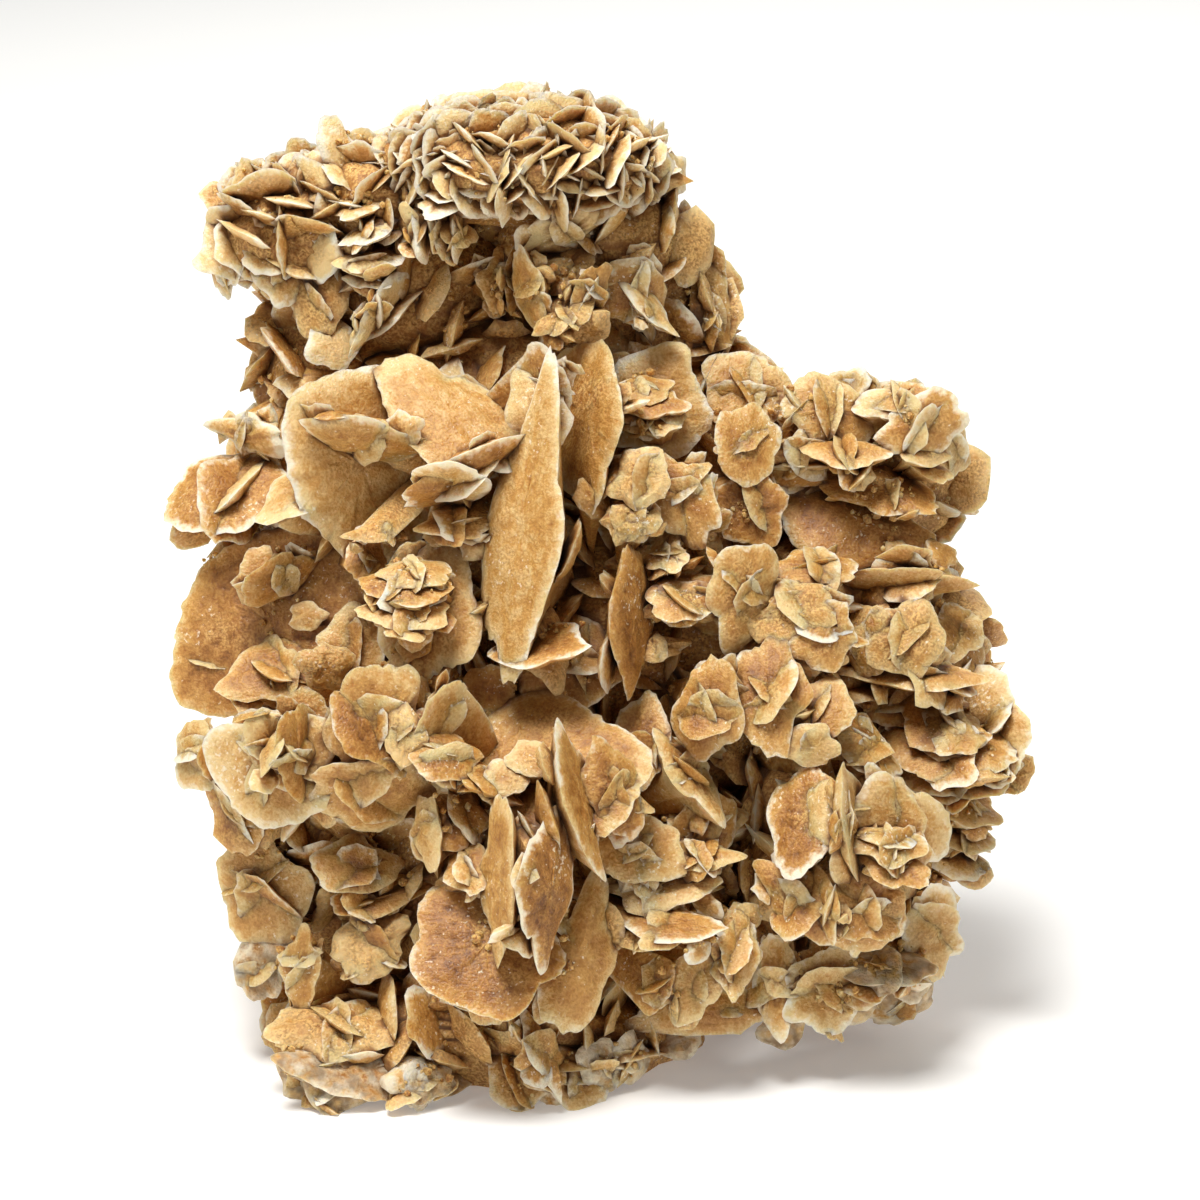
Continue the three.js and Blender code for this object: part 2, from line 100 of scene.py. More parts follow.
heartBlades = [
    (-49, 27, 22, 0.1, 0.15, 0.98, 19.6, 15, 100, "frost"),
    (-47, 32, 30, -0.1, -0.85, 0.42, 13, 8, -14, "frost"),
    (-30.4, 36, 27, 0.05, 0.35, 0.93, 18, 11.5, -55, "honey"),
    (-27.6, 25, 36, 0.4, -0.8, 0.34, 13.6, 9, 40, "frost"),
    (-27.6, 15, 32, 0, 0.8, 0.6, 9, 5, 5, "honey"),
    (-73.6, 20.6, 8, -0.25, 0.6, 0.75, 13.5, 11, 170, "frost"),
    (-70, 33, 9, -0.2, -0.35, 0.9, 8.4, 4.4, -5, "frost"),
    (-64, -5, 10, -0.25, 0.1, 0.96, 19.5, 21, 100, "honey"),
    (-64, 4.4, 19, 0.45, -0.6, 0.65, 8.4, 6, 36, "honey"),
    (-68.4, 6.6, 14, -0.2, 0.2, 0.95, 4, 4, 0, "honey"),
    (-58.4, -3, 17, 0.1, 0.3, 0.95, 4, 3, 0, "honey"),
    (-64, -14, 17, -0.15, 0.5, 0.85, 12, 8, 25, "honey"),
    (-55, -13.4, 25, 0.1, 0.1, 0.98, 5.4, 5, 0, "sand"),
    (-49, -9, 20, 0.1, 0.1, 0.98, 7.6, 7, 60, "honey"),
    (-33.6, -3, 31, 0.3, 0.1, 0.95, 15.6, 9.6, 80, "honey"),
    (-39, 2, 39, 0.05, 0.8, 0.6, 9.6, 6, 10, "honey"),
    (-39, -2.4, 40, 0.05, 0.8, 0.6, 9.6, 6, 14, "honey"),
    (-37, 5, 38, 0.05, 0.8, 0.6, 8, 5, 20, "honey"),
    (-37, -9, 34, 0, 0.2, 0.97, 3.6, 3.6, 0, "honey"),
    (-44.6, 13.6, 31, 0.2, 0.7, 0.7, 7.4, 3, 28, "sand"),
    (-47, 8, 27, 0.5, 0.1, 0.85, 6, 4, 60, "honey"),
    (-14, 14, 36, -0.6, 0, 0.8, 33, 10, 79, "frost"),
    (-11, 43, 32, -0.35, -0.3, 0.88, 8, 7, 60, "frost"),
    (-0.4, 36, 28, -0.8, 0.05, 0.6, 17, 8, 88, "honey"),
    (-2, 20, 29, 0.3, 0.3, 0.9, 4.4, 3, -50, "honey"),
    (11, 39, 15, 0.1, -0.2, 0.97, 11, 10.6, 0, "frost"),
    (10, 39, 22, 0, 0.7, 0.7, 7.6, 4.5, 0, "honey"),
    (9, 42, 21, 0, 0.7, 0.7, 6, 4, 15, "honey"),
    (9.6, 35, 22, 0, 0.7, 0.7, 6, 4, -10, "honey"),
    (8.2, 24.4, 32, 0, 0.3, 0.95, 6.4, 6, 0, "sand"),
    (6.4, 16, 31, 0, 0.2, 0.98, 6.6, 4.4, 0, "sand"),
    (17, 20, 26, -0.35, -0.2, 0.9, 10.4, 6.6, 115, "honey"),
    (29, 41, 8, 0.2, 0.1, 0.97, 9.2, 8.6, 30, "honey"),
    (29, 31, 19, 0.15, 0.25, 0.95, 8, 7.2, 70, "honey"),
    (30, 18.4, 18, 0.2, 0.2, 0.95, 7.6, 7.4, 60, "honey"),
    (5.6, -3, 30, 0.85, 0, 0.5, 15.6, 8, 92, "honey"),
    (17, 0, 28, 0.1, 0.65, 0.75, 9, 6, 28, "honey"),
    (13, 9, 26, -0.3, 0.6, 0.7, 6.4, 4.5, -38, "honey"),
    (28.4, 1.4, 29, 0.1, 0.05, 0.99, 10, 8, 75, "honey"),
    (-6, -12, 22, 0, 0.5, 0.85, 11.6, 9, 0, "honey"),
    (-22, -18, 24, 0.3, 0, 0.95, 5.2, 5, 90, "honey"),
]
rightBlades = [
    (45.6, 37.6, 12, -0.15, 0.35, 0.92, 9.6, 7, -10, "honey"),
    (51, 41, 7, 0, 0.5, 0.85, 7.6, 4.7, 0, "frost"),
    (60.6, 39, 11, 0.1, 0.7, 0.7, 10, 6, 28, "frost"),
    (64.4, 35, 14, 0.2, -0.35, 0.9, 9.6, 6.4, 15, "frost"),
    (49, 29, 16, 0, 0.8, 0.55, 9, 5.5, 0, "honey"),
    (57, 20.6, 10, 0.1, 0.75, 0.6, 11, 6, -12, "honey"),
    (65, 29, 13, 0.3, 0.6, 0.7, 5, 3.5, 25, "honey"),
    (66, 26, 11, 0.3, 0.6, 0.7, 4.5, 3, -15, "honey"),
    (70, 30, 2, 0.7, 0, 0.7, 6, 6, 90, "honey"),
    (50, 15, 8, 0.1, 0.15, 0.98, 16, 9.4, -10, "honey"),
    (40, 28, 12, 0.2, -0.5, 0.8, 6.4, 7, 90, "honey"),
    (43, 6, 20, 0, 0.8, 0.6, 10, 6, -8, "honey"),
    (61.4, 3.4, 13, 0, -0.9, 0.42, 11.6, 7.5, 0, "honey"),
    (68, 9, 8, 0.3, 0.4, 0.85, 4.5, 3.5, 30, "honey"),
    (60, 9, 11, 0, 0.5, 0.85, 4, 3, -10, "honey"),
    (37, -2.4, 28, -0.1, 0.3, 0.95, 10, 7.4, 10, "sand"),
    (44.4, -7.4, 30, 0.15, 0.1, 0.98, 6.8, 6.4, 20, "honey"),
    (61, -8, 20, 0.1, 0.1, 0.98, 7.8, 7.4, 45, "sand"),
    (53, -8, 18, -0.6, 0, 0.8, 7, 6.5, 90, "sand"),
    (72, -8, 5, 0.4, 0.3, 0.85, 8, 7.5, 110, "honey"),
    (63, -15.6, 17, 0, 0.85, 0.5, 14.4, 6.5, 0, "honey"),
    (34, -19, 33, -0.1, 0.1, 0.98, 11.6, 7.6, 90, "honey"),
    (45, -21.6, 32, 0.1, 0.15, 0.98, 6.2, 5.8, 0, "honey"),
    (42.4, -29, 35, 0, -0.1, 0.98, 5.6, 4.2, 0, "honey"),
    (78, -25, 9, -0.5, -0.1, 0.85, 11, 9, 115, "frost"),
    (71, -31, 16, -0.05, 0.75, 0.65, 12.4, 7.5, 8, "frost"),
    (73, -35.6, 11, -0.05, 0.75, 0.65, 12.4, 7, 12, "frost"),
    (69.6, -27.6, 17, 0, 0.7, 0.7, 8, 5, 5, "honey"),
    (70, -25, 14, 0, 0.7, 0.7, 7, 4, -10, "honey"),
    (72, -29, 19, 0, 0.7, 0.7, 5, 3.5, 20, "honey"),
    (62, -21, 8, 0, 0.3, 0.95, 12, 6, 0, "honey"),
    (53.6, -30.4, 25, 0.5, 0.6, 0.6, 9, 5.5, -40, "honey"),
    (52, -27, 23, 0.5, 0.5, 0.7, 6.4, 4.5, -55, "honey"),
    (73, -42, 4, 0.3, 0.8, 0.5, 7, 7, 0, "honey"),
    (72, -47, 3, 0.3, 0.8, 0.5, 7, 7, 4, "frost"),
    (70, -51, 2, 0.3, 0.8, 0.5, 7.5, 7, -4, "frost"),
    (41.6, -44, 36, -0.2, 0.05, 0.98, 12, 8, 95, "frost"),
    (40, -60, 34, -0.15, -0.2, 0.95, 11, 6, -50, "honey"),
    (48.6, -43.6, 42, 0.95, 0.1, 0.25, 11.6, 6, 98, "honey"),
    (58.6, -45, 33, 0.15, 0.1, 0.98, 11.6, 9.6, -10, "frost"),
    (57.6, -49, 40, 0.05, 0.65, 0.75, 8, 5, 8, "honey"),
    (59, -53.6, 40, 0.3, 0.4, 0.85, 7.6, 4.5, -35, "honey"),
    (61, -51, 37, 0.2, 0.1, 0.97, 5.2, 5, 0, "honey"),
    (55, -51, 39, -0.4, 0.1, 0.9, 5, 4, -50, "honey"),
    (52.4, -62, 36, -0.15, -0.3, 0.93, 9, 8.6, -20, "honey"),
    (46, -61.6, 38, -0.85, 0, 0.5, 6.6, 4, 98, "honey"),
    (35.6, -77, 22, -0.2, 0.1, 0.97, 10.4, 5.5, 100, "frost"),
    (45, -78, 23, 0.1, 0.3, 0.95, 9, 8, 30, "frost"),
    (50, -80, 20, 0.2, 0.2, 0.95, 6, 5, 20, "chalk"),
    (36, -86, 14, 0, 0, 1, 4.5, 4, 0, "chalk"),
    (57.6, -74, 22, 0, 0.9, 0.4, 9.4, 7, 0, "chalk"),
    (66, -66, 14, 0.55, 0, 0.83, 10, 7, 92, "frost"),
    (60, -80, 6, 0.2, -0.5, 0.8, 7, 5.5, 20, "chalk"),
]
lowLeftBlades = [
    (-64.6, -33, 34, -0.15, 0.25, 0.95, 12.6, 12.6, 60, "frost"),
    (-66.4, -28, 40, 0.5, 0.1, 0.85, 6.6, 5, -50, "honey"),
    (-61.8, -29.6, 42, 0.85, -0.1, 0.5, 10, 5.8, 74, "honey"),
    (-80, -31.4, 20, -0.4, 0.1, 0.9, 7.2, 6.4, 90, "frost"),
    (-78.6, -31.4, 24, 0.8, 0, 0.6, 4.4, 3, 85, "honey"),
    (-72, -42, 24, -0.2, -0.3, 0.93, 8, 8, 0, "honey"),
    (-45, -25.6, 40, -0.1, 0.05, 0.99, 13.4, 9.4, 75, "honey"),
    (-31.6, -22.4, 42, 0.3, -0.3, 0.9, 7.4, 6, 50, "honey"),
    (-31, -31.4, 44, 0.1, 0.35, 0.93, 7.8, 6, 20, "honey"),
    (-39, -27, 44, 0, 0.2, 0.98, 6, 4.5, 90, "sand"),
    (-46, -37.6, 36, 0, -0.3, 0.95, 13.6, 9, -5, "honey"),
    (-67, -58, 18, -0.35, 0, 0.93, 11, 9.5, 92, "honey"),
    (-49, -53.6, 27, 0.05, 0.45, 0.88, 9.8, 5.8, 12, "honey"),
    (-47.6, -61, 26, 0.05, 0.7, 0.7, 6.6, 4.2, 8, "honey"),
    (-59.6, -74, 24, -0.3, 0.1, 0.95, 9.4, 4.4, 85, "honey"),
    (-46, -69, 26, 0.2, 0.5, 0.85, 8.6, 6.5, 30, "sand"),
    (-53, -86, 27, 0, 0.7, 0.7, 13, 8, -5, "sand"),
    (-46, -95, 29, 0, 0.45, 0.9, 18, 8, 3, "chalk"),
    (-54, -97, 31, -0.2, 0.3, 0.93, 7, 5, 100, "chalk"),
    (-60, -95, 26, -0.4, 0.2, 0.9, 6, 5, 70, "chalk"),
    (-36, -96, 31, 0.2, 0.3, 0.93, 7, 5.5, 20, "chalk"),
    (-68.4, -74, 16, -0.4, 0.2, 0.9, 7, 5, 100, "chalk"),
]
lowMiddleBlades = [
    (-8, -34, 36, 0, 0.3, 0.95, 19, 16, -40, "honey"),
    (-5.4, -40, 48, 0.88, 0.28, 0.38, 16.4, 8, -72, "frost"),
    (2.4, -38, 44, 0.5, 0.1, 0.85, 10.4, 6, -70, "honey"),
    (-19, -55.6, 48, -0.85, 0, 0.5, 17, 8, 84, "honey"),
    (-11.4, -57.6, 52, 0.45, 0.05, 0.88, 17.6, 8, 82, "frost"),
    (-22, -36.6, 43, 0.5, 0.75, 0.4, 7.2, 4.5, -34, "honey"),
    (-19, -36, 44, 0, 0.5, 0.85, 4.6, 4.2, 0, "honey"),
    (-14, -32, 43, 0.1, 0.5, 0.85, 4.6, 4.2, 0, "honey"),
    (-34.4, -46.4, 39, -0.8, 0, 0.6, 7.4, 5, 105, "honey"),
    (-29, -44, 38, 0, 0.2, 0.97, 6.2, 6, 60, "honey"),
    (-26, -54, 41, -0.3, 0.2, 0.93, 7, 4.5, 120, "honey"),
    (-23, -70, 41, -0.05, 0.25, 0.96, 15, 13.4, -15, "honey"),
    (-4.4, -72, 39, 0.35, 0.05, 0.93, 16, 8, 78, "honey"),
    (8, -50, 35, 0.1, 0.4, 0.9, 9.2, 7, 10, "honey"),
    (20, -51.6, 32, 0, 0.85, 0.5, 8.4, 5, 10, "honey"),
    (12, -58, 33, 0, 0.6, 0.8, 11.6, 6, 0, "honey"),
    (21, -46, 26, 0.3, 0.1, 0.95, 7, 7, 110, "honey"),
    (8.6, -28.4, 26, -0.25, 0.1, 0.96, 10.4, 6.2, 90, "honey"),
    (17.6, -35, 29, 0.5, 0.2, 0.85, 12.4, 5.5, -62, "honey"),
    (21.6, -22, 34, -0.1, -0.15, 0.98, 11, 7, 85, "honey"),
    (12, -9.6, 26, 0, 0.6, 0.8, 5.6, 3, 10, "sand"),
    (13.6, -66, 38, 0, 0.85, 0.5, 11, 6, -8, "frost"),
    (19, -77, 34, 0.25, 0, 0.97, 9, 5.2, 80, "honey"),
    (11, -77, 33, -0.5, 0, 0.85, 5.8, 4.6, 100, "honey"),
    (27, -70.4, 33, 0.25, 0, 0.97, 9.8, 5, 85, "honey"),
    (26, -82.4, 20, 0, -0.3, 0.95, 8, 4.5, 0, "honey"),
    (-16, -96, 30, 0, 0.3, 0.95, 7, 6.4, 0, "frost"),
    (-5, -96, 28, 0, 0.3, 0.95, 7, 6.4, 0, "frost"),
    (0, -93, 27, 0.3, 0.2, 0.93, 5.6, 5.2, 0, "chalk"),
    (-11, -95, 32, 0, 0.5, 0.85, 4.6, 4, 0, "honey"),
    (-11.8, -90.4, 34, 0.85, 0.35, 0.4, 10.4, 5, -68, "frost"),
    (5, -92, 24, 0.4, 0.2, 0.9, 6, 5, 60, "chalk"),
    (16, -88, 16, 0.1, 0.1, 0.98, 4.6, 4.4, 0, "chalk"),
]

# The sand-filled mass behind the crystals: middle and half sizes in mm, in the same view.
crownMass = ((-15, 87, 12), (30, 12.6, 24))
crownLobeMass = ((-61, 74, 6), (15, 13.4, 14))
crownSaddleMass = ((-45, 80, 8), (14, 11.5, 14))
bodyMasses = [
    ((-15, -56, 0), (42, 32, 27)),
    ((-52, -42, 0), (20, 30, 20)),
    ((46, -50, -2), (22, 26, 22)),
    ((-8, -8, -8), (46, 34, 24)),
    ((44, -8, -4), (24, 24, 20)),
    ((64, -20, -8), (14, 26, 14)),
    ((54, 24, -10), (18, 16, 13)),
    ((-24, 36, -6), (36, 32, 20)),
    ((-60, 8, -8), (15, 32, 14)),
    ((18, 24, -8), (22, 28, 18)),
    ((-38, 62, 0), (26, 17, 14)),
    ((8, 60, -4), (17, 14, 12)),
    ((-2, 72, 6), (20, 12, 13)),
    ((-56, 50, -1), (12, 15, 11)),
    ((-22, -88, -2), (44, 16, 32)),
    ((-5, -62, -22), (50, 34, 34)),
    ((-8, -80, -28), (44, 24, 30)),
    ((0, -10, -14), (52, 42, 32)),
    ((-18, 42, -17), (38, 30, 24)),
]
massLobes = [crownMass, crownLobeMass, crownSaddleMass, *bodyMasses]

# Plates on the back, laid on the mass behind a place of the front: across, up, half size in mm.
backPlates = [
    (-44, 62, 13), (-14, 64, 12), (12, 60, 11), (-50, 38, 14), (-22, 44, 18), (10, 38, 14),
    (30, 32, 12), (55, 28, 13), (-63, 14, 14), (-38, 18, 15), (-8, 18, 17), (24, 10, 16),
    (50, 6, 15), (-64, -14, 13), (-34, -12, 18), (0, -14, 17), (32, -18, 16), (62, -18, 15),
    (-60, -42, 15), (-30, -38, 16), (4, -40, 19), (34, -44, 15), (58, -46, 14), (-42, -58, 15),
    (-14, -56, 14), (16, -58, 15),
]

# Kinds of crystal: frost on the rim, sand and chalk on the faces, 0 to 1, thickness of the rim as a share,
# width of the frost and height of the crust in mm, dishing and paleness as shares.
finishParts = ("frost", "sand", "chalk", "rim", "band", "lump", "bend", "pale")
finishRows = {
    "honey": (0.6, 0.1, 0, 1, 1.3, 0, 1, 0),
    "frost": (1, 0.15, 0, 1.4, 2.8, 0, 1, 0.05),
    "rime": (1.1, 0.15, 0, 1.7, 2.6, 0, 0.15, 0.3),
    "sand": (0.4, 0.95, 0, 1, 1.2, 0.75, 0.5, 0.2),
    "chalk": (1, 0.5, 1, 1.3, 3, 0.6, 0.5, 0.2),
}
finishes = {name: dict(zip(finishParts, row)) for name, row in finishRows.items()}
attributes = ("body", "frost", "sand", "chalk", "hollow")


def turn(right, up, out):  # from the camera's directions to the stone's
    sine, cosine = math.sin(view["elevation"]), math.cos(view["elevation"])
    return Vector((right, up * sine - out * cosine, up * cosine + out * sine))


def nearness(out):
    return 1 - out * mm / view["distance"]  # what is nearer the eye is smaller than it looks


def place(across, up, out):
    near = nearness(out)
    return turn(across * near, up * near, out) * mm + view["middle"]


def makeDice(seed):  # the same draws as the solid's outlines
    state = seed * 7919
    while True:
        state = state * 16807 % 2147483647
        yield state / 2147483647


def seedAt(spot):
    return math.floor(6000 + 37 * spot[0] + 11 * spot[1] + 5 * spot[2] + 0.5)


outline = {
    "waves": (2, 3, 5),  # waves around the rim
    "shallow": 0.03,  # their depth, as a share of the half sizes, and what chance adds to it
    "deeper": 0.06,
    "corners": (5, 7),
    "cornered": (0.15, 0.55),  # part way from round to cornered
    "cornerSize": 1.08,
}


def outlineAt(seed, angle):  # uneven outline, as a share of the half sizes
    dice = makeDice(seed)
    edge = np.ones_like(angle)
    for count in outline["waves"]:
        depth = outline["shallow"] + outline["deeper"] * next(dice)
        edge += depth * np.cos(count * angle + 2 * math.pi * next(dice))
    draw = random.Random(seed + 3)
    count = draw.randint(*outline["corners"])
    step = 2 * math.pi / count
    fromSide = (angle + draw.uniform(0, step)) % step - step / 2
    straight = outline["cornerSize"] * math.cos(step / 2) / np.cos(fromSide)
    return edge * (1 + draw.uniform(*outline["cornered"]) * (straight - 1))


def noiseAt(spots, seed):  # smooth noise from -1 to 1 at many spots, one cell is 1 unit
    cell = np.floor(spots).astype(np.int64)
    part = spots - cell
    fade = part * part * (3 - 2 * part)
    total = np.zeros(len(spots))
    for corner in np.ndindex(2, 2, 2):
        at = (cell + corner) @ np.array((374761393, 668265263, 1274126177)) + seed * 1013904223
        at = (at ^ (at >> 13)) * 1103515245 & 0x7FFFFFFF
        at = (at ^ (at >> 15)) * 668265263 & 0x7FFFFFFF
        total += np.where(corner, fade, 1 - fade).prod(axis=1) * (at / 0x3FFFFFFF - 1)
    return total


def wayIn(spot):  # shortest way from a crystal's middle into the mass, in mm
    ways = []
    for middle, half in massLobes:
        depth = math.sqrt(sum(((s - m) / h) ** 2 for s, m, h in zip(spot, middle, half)))
        ways.append(turn(*[m - s for s, m in zip(spot, middle)]) * (1 - 1 / max(depth, 0.01)))
    return min(ways, key=lambda way: way.length)


def readShape(bm):
    bm.verts.index_update()
    spots = np.array([vert.co[:] for vert in bm.verts])
    polys = [[vert.index for vert in face.verts] for face in bm.faces]
    bm.free()
    return spots, polys


ballShapes = {}


def ballShape(around, rings):  # one sphere of each fineness, crystals are made of it
    if (around, rings) not in ballShapes:
        bm = bmesh.new()
        bmesh.ops.create_uvsphere(bm, u_segments=around, v_segments=rings, radius=1)
        ballShapes[around, rings] = readShape(bm)
    return ballShapes[around, rings]


def newStone():
    return {"spots": [], "polys": [], "count": 0, "lay": [], **{name: [] for name in attributes}}


def addShape(stone, spots, polys, lay, **values):
    start = stone["count"]
    stone["spots"].append(spots)
    stone["polys"] += [[start + corner for corner in poly] for poly in polys]
    stone["count"] += len(spots)
    stone["lay"].append(lay)  # places on the crystal's own face in mm, for its growth lines
    for name in attributes:
        stone[name].append(np.broadcast_to(values.get(name, 0.0), len(spots)))


# The shape of every crystal. Lengths are in mm, "size" is the geometric mean of the half sizes.
blade = {
    "thinnest": 0.45, "thickening": 0.14,  # half thickness in the middle, more for each mm of size
    "lens": 1.7,  # power of the thinning towards the rim
    "rim": 0.2, "rimGrowth": 0.02, "rimSquare": 8,  # half thickness of the rim, its growth and squareness
    "step": 1.05, "around": (14, 144),  # mesh step along the rim, fewest and most of them
    "rings": (2, 10), "ringRule": (1.6, 0.34),  # steps across a face: limits, first, more for each mm
    "scallop": 0.06, "scallops": 2.2,  # wide bites: depth as a share of the size, closeness
    "pointed": 0.15, "slender": 1.2,  # points of long crystals, and the most length that counts
    "chip": 0.5, "chipLength": 1.9, "chipIn": 0.2,  # small chips in the rim, more inward than outward
    "fineChip": 0.5, "fineChipLength": 0.8,
    "ridge": 0.24, "ridgeLength": 2.2, "fineRidge": 0.6, "fineRidgeLength": 0.9,  # growth relief on the faces
    "ledge": 0.45, "ledgeWidth": 3.2,  # growth ledges that follow the rim
    "ledgeWaver": 0.8, "waverLength": 5,  # how far they wander, in ledges
    "thinned": 0.5,  # relief leaves at least this share of the thickness
    "warp": 0.07, "warps": 1.1, "bowl": (-0.04, 0.15),  # bends and dishing, as shares of the size
    "cake": 6.5, "cakeEdge": 1.8, "cakeLess": 0.1,  # patches of caked sand, and how sharply they end
    "crust": 0.5, "crustLength": 2.4, "crustLevel": 0.3, "crumb": 0.6, "crumbLength": 1.1,  # their lumps
    "clearBand": 4.5, "clearFade": 1.3,  # the clear outer part of a face
    "sandFade": (1.15, 0.6),  # sand in the middle, and what it loses to the rim
    "frostPatch": 7, "frostRule": (0.75, 0.6),  # frost comes and goes along the rim: mean and change
    "rootFree": 2, "rootGrip": 4,  # a crystal further than this from the mass is drawn into it
    "rootAcross": 0.5,  # one that faces its root more than this lies across the way in
}


def growBlade(stone, middle, faces, along, halfLength, halfWidth, seed, finish, way=None, coarse=1.0,
              slim=1.0):
    size = math.sqrt(halfLength * halfWidth)
    around = int(np.clip(round(2 * math.pi * size / (blade["step"] * coarse)), *blade["around"]))
    firstRings, perMm = blade["ringRule"]
    rings = 2 * int(np.clip(round(firstRings + size / coarse * perMm), *blade["rings"]))
    ball, polys = ballShape(around, rings)
    look = finishes[finish]
    draw = random.Random(seed)

    # share is 0 in the middle of a face and 1 on the rim
    share = np.arcsin(np.minimum(np.hypot(ball[:, 0], ball[:, 1]), 1)) * 2 / math.pi
    angle = np.arctan2(ball[:, 1], ball[:, 0])
    side = np.where(np.abs(ball[:, 2]) < 1e-4, 0, np.sign(ball[:, 2]))
    onRim = np.stack((np.cos(angle), np.sin(angle), 0 * angle), axis=1) * size
    edge = outlineAt(seed, angle)
    edge += blade["scallop"] * noiseAt(onRim * blade["scallops"] / size + 40, seed)
    edge -= blade["pointed"] * min(halfLength / halfWidth - 1, blade["slender"]) * np.abs(np.sin(2 * angle))
    edge += blade["chip"] / size * (noiseAt(onRim / blade["chipLength"], seed + 1) - blade["chipIn"])
    edge += blade["fineChip"] * blade["chip"] / size * noiseAt(onRim / blade["fineChipLength"], seed + 2)
    flat = onRim / size * np.array((halfLength, halfWidth, 0)) * (share * edge)[:, None]

    rimHalf = (blade["rim"] + blade["rimGrowth"] * size) * look["rim"]
    middleHalf = blade["thinnest"] + blade["thickening"] * size
    thick = rimHalf * np.sqrt(1 - share ** blade["rimSquare"])
    thick = slim * (thick + (middleHalf - rimHalf) * (1 - share ** blade["lens"]))
    layered = flat + np.stack((0 * share, 0 * share, 9.5 * side), axis=1)  # the two faces differ
    relief = noiseAt(layered / blade["ridgeLength"], seed + 3)
    relief += blade["fineRidge"] * noiseAt(layered / blade["fineRidgeLength"], seed + 4)
    waver = blade["ledgeWaver"] * noiseAt(layered / blade["waverLength"], seed + 5)
    steps = (1 - share) * size / blade["ledgeWidth"] + waver
    relief = blade["ridge"] * relief + blade["ledge"] * (steps - np.floor(steps) - 0.5)
    caked = blade["cakeEdge"] * noiseAt(layered / blade["cake"], seed + 11) - blade["cakeLess"]
    caked = np.clip(caked, 0, 1) * (1 - share ** 3)
    caked = np.maximum(caked, 1 if look["lump"] else 0)
    crust = noiseAt(layered / blade["crustLength"], seed + 9)
    crust += blade["crumb"] * noiseAt(layered / blade["crumbLength"], seed + 10)
    crust = np.maximum(crust + blade["crustLevel"], 0)
    flat[:, 2] = side * np.maximum(thick + relief * (1 - share ** 6), blade["thinned"] * thick)
    flat[:, 2] += side * max(look["lump"], blade["crust"]) * caked * crust * (1 - share ** 4)
    warp = noiseAt(flat / size * blade["warps"] + 7, seed + 6)
    flat[:, 2] += blade["warp"] * size * warp * share
    flat[:, 2] += size * draw.uniform(*blade["bowl"]) * look["bend"] * share ** 2
    lay = flat + (0, 0, 10.0 * (seed % 997))

    normal = faces.normalized()
    length = (along - normal * along.dot(normal)).normalized()
    turned = np.array((length, normal.cross(length), normal))
    if way and way.length > blade["rootFree"]:
        root = turned @ np.array(way)
        gap = np.linalg.norm(root)
        reach = root * (1 + blade["rootGrip"] / gap)
        if abs(root[2]) > blade["rootAcross"] * gap:  # its far face is drawn back
            flat += reach * ((side * root[2] > 0) * (1 - share) ** 2)[:, None]
        else:  # stands along the way in: its inner half is drawn out
            fromMiddle = np.maximum(np.hypot(flat[:, 0], flat[:, 1]), 0.01)
            inner = np.maximum(0, flat[:, :2] @ root[:2] / (gap * fromMiddle))
            flat[:, :2] += reach[:2] * (inner * share)[:, None]
    spots = np.array(middle) + flat @ turned * mm

    meanFrost, frostChange = blade["frostRule"]
    frost = np.maximum(0, 1 - (1 - share) * size / look["band"])
    frost *= look["frost"] * (meanFrost + frostChange * noiseAt(flat / blade["frostPatch"], seed + 8))
    clear = np.maximum(0, 1 - (1 - share) * size / blade["clearBand"]) ** blade["clearFade"]
    body = 0.5 * draw.random() + 0.5 * clear + look["pale"]  # half chance, half clearness
    midSand, sandLoss = blade["sandFade"]
    sand = np.maximum(look["sand"], caked) * (midSand - sandLoss * share)
    addShape(stone, spots, polys, lay, body=body, frost=frost, sand=sand, chalk=look["chalk"])


leaves = {
    "behindFrom": 6.5,  # crystals of this half length or more have leaves behind them, mm
    "behind": (3, 6),  # leaves that peep out from behind the rim
    "behindSize": (0.36, 0.66),
    "behindTip": (0.2, 1.2),  # lean from the crystal, radians
    "behindOut": (0.45, 0.85),  # as shares of its size
    "behindDeep": (0.12, 0.45),
    "behindWidth": (0.6, 0.9),
    "acrossFrom": 5.5,  # and from this half length others grow through them
    "across": (1, 3),
    "acrossSize": (0.65, 1.0),
    "acrossTip": (0.4, 0.95),
    "acrossOut": (-0.1, 0.3),
    "acrossWidth": (0.62, 0.85),
    "uneven": 0.25,  # of the turns between them
    "plain": 15,  # from this half length on the face stays open
    "plainAcross": (0, 1),
    "plainSize": (0.26, 0.42),
    "plainOut": (0.45, 0.8),
    "least": 2,  # smallest half length, mm
    "coarse": 1.45,
}


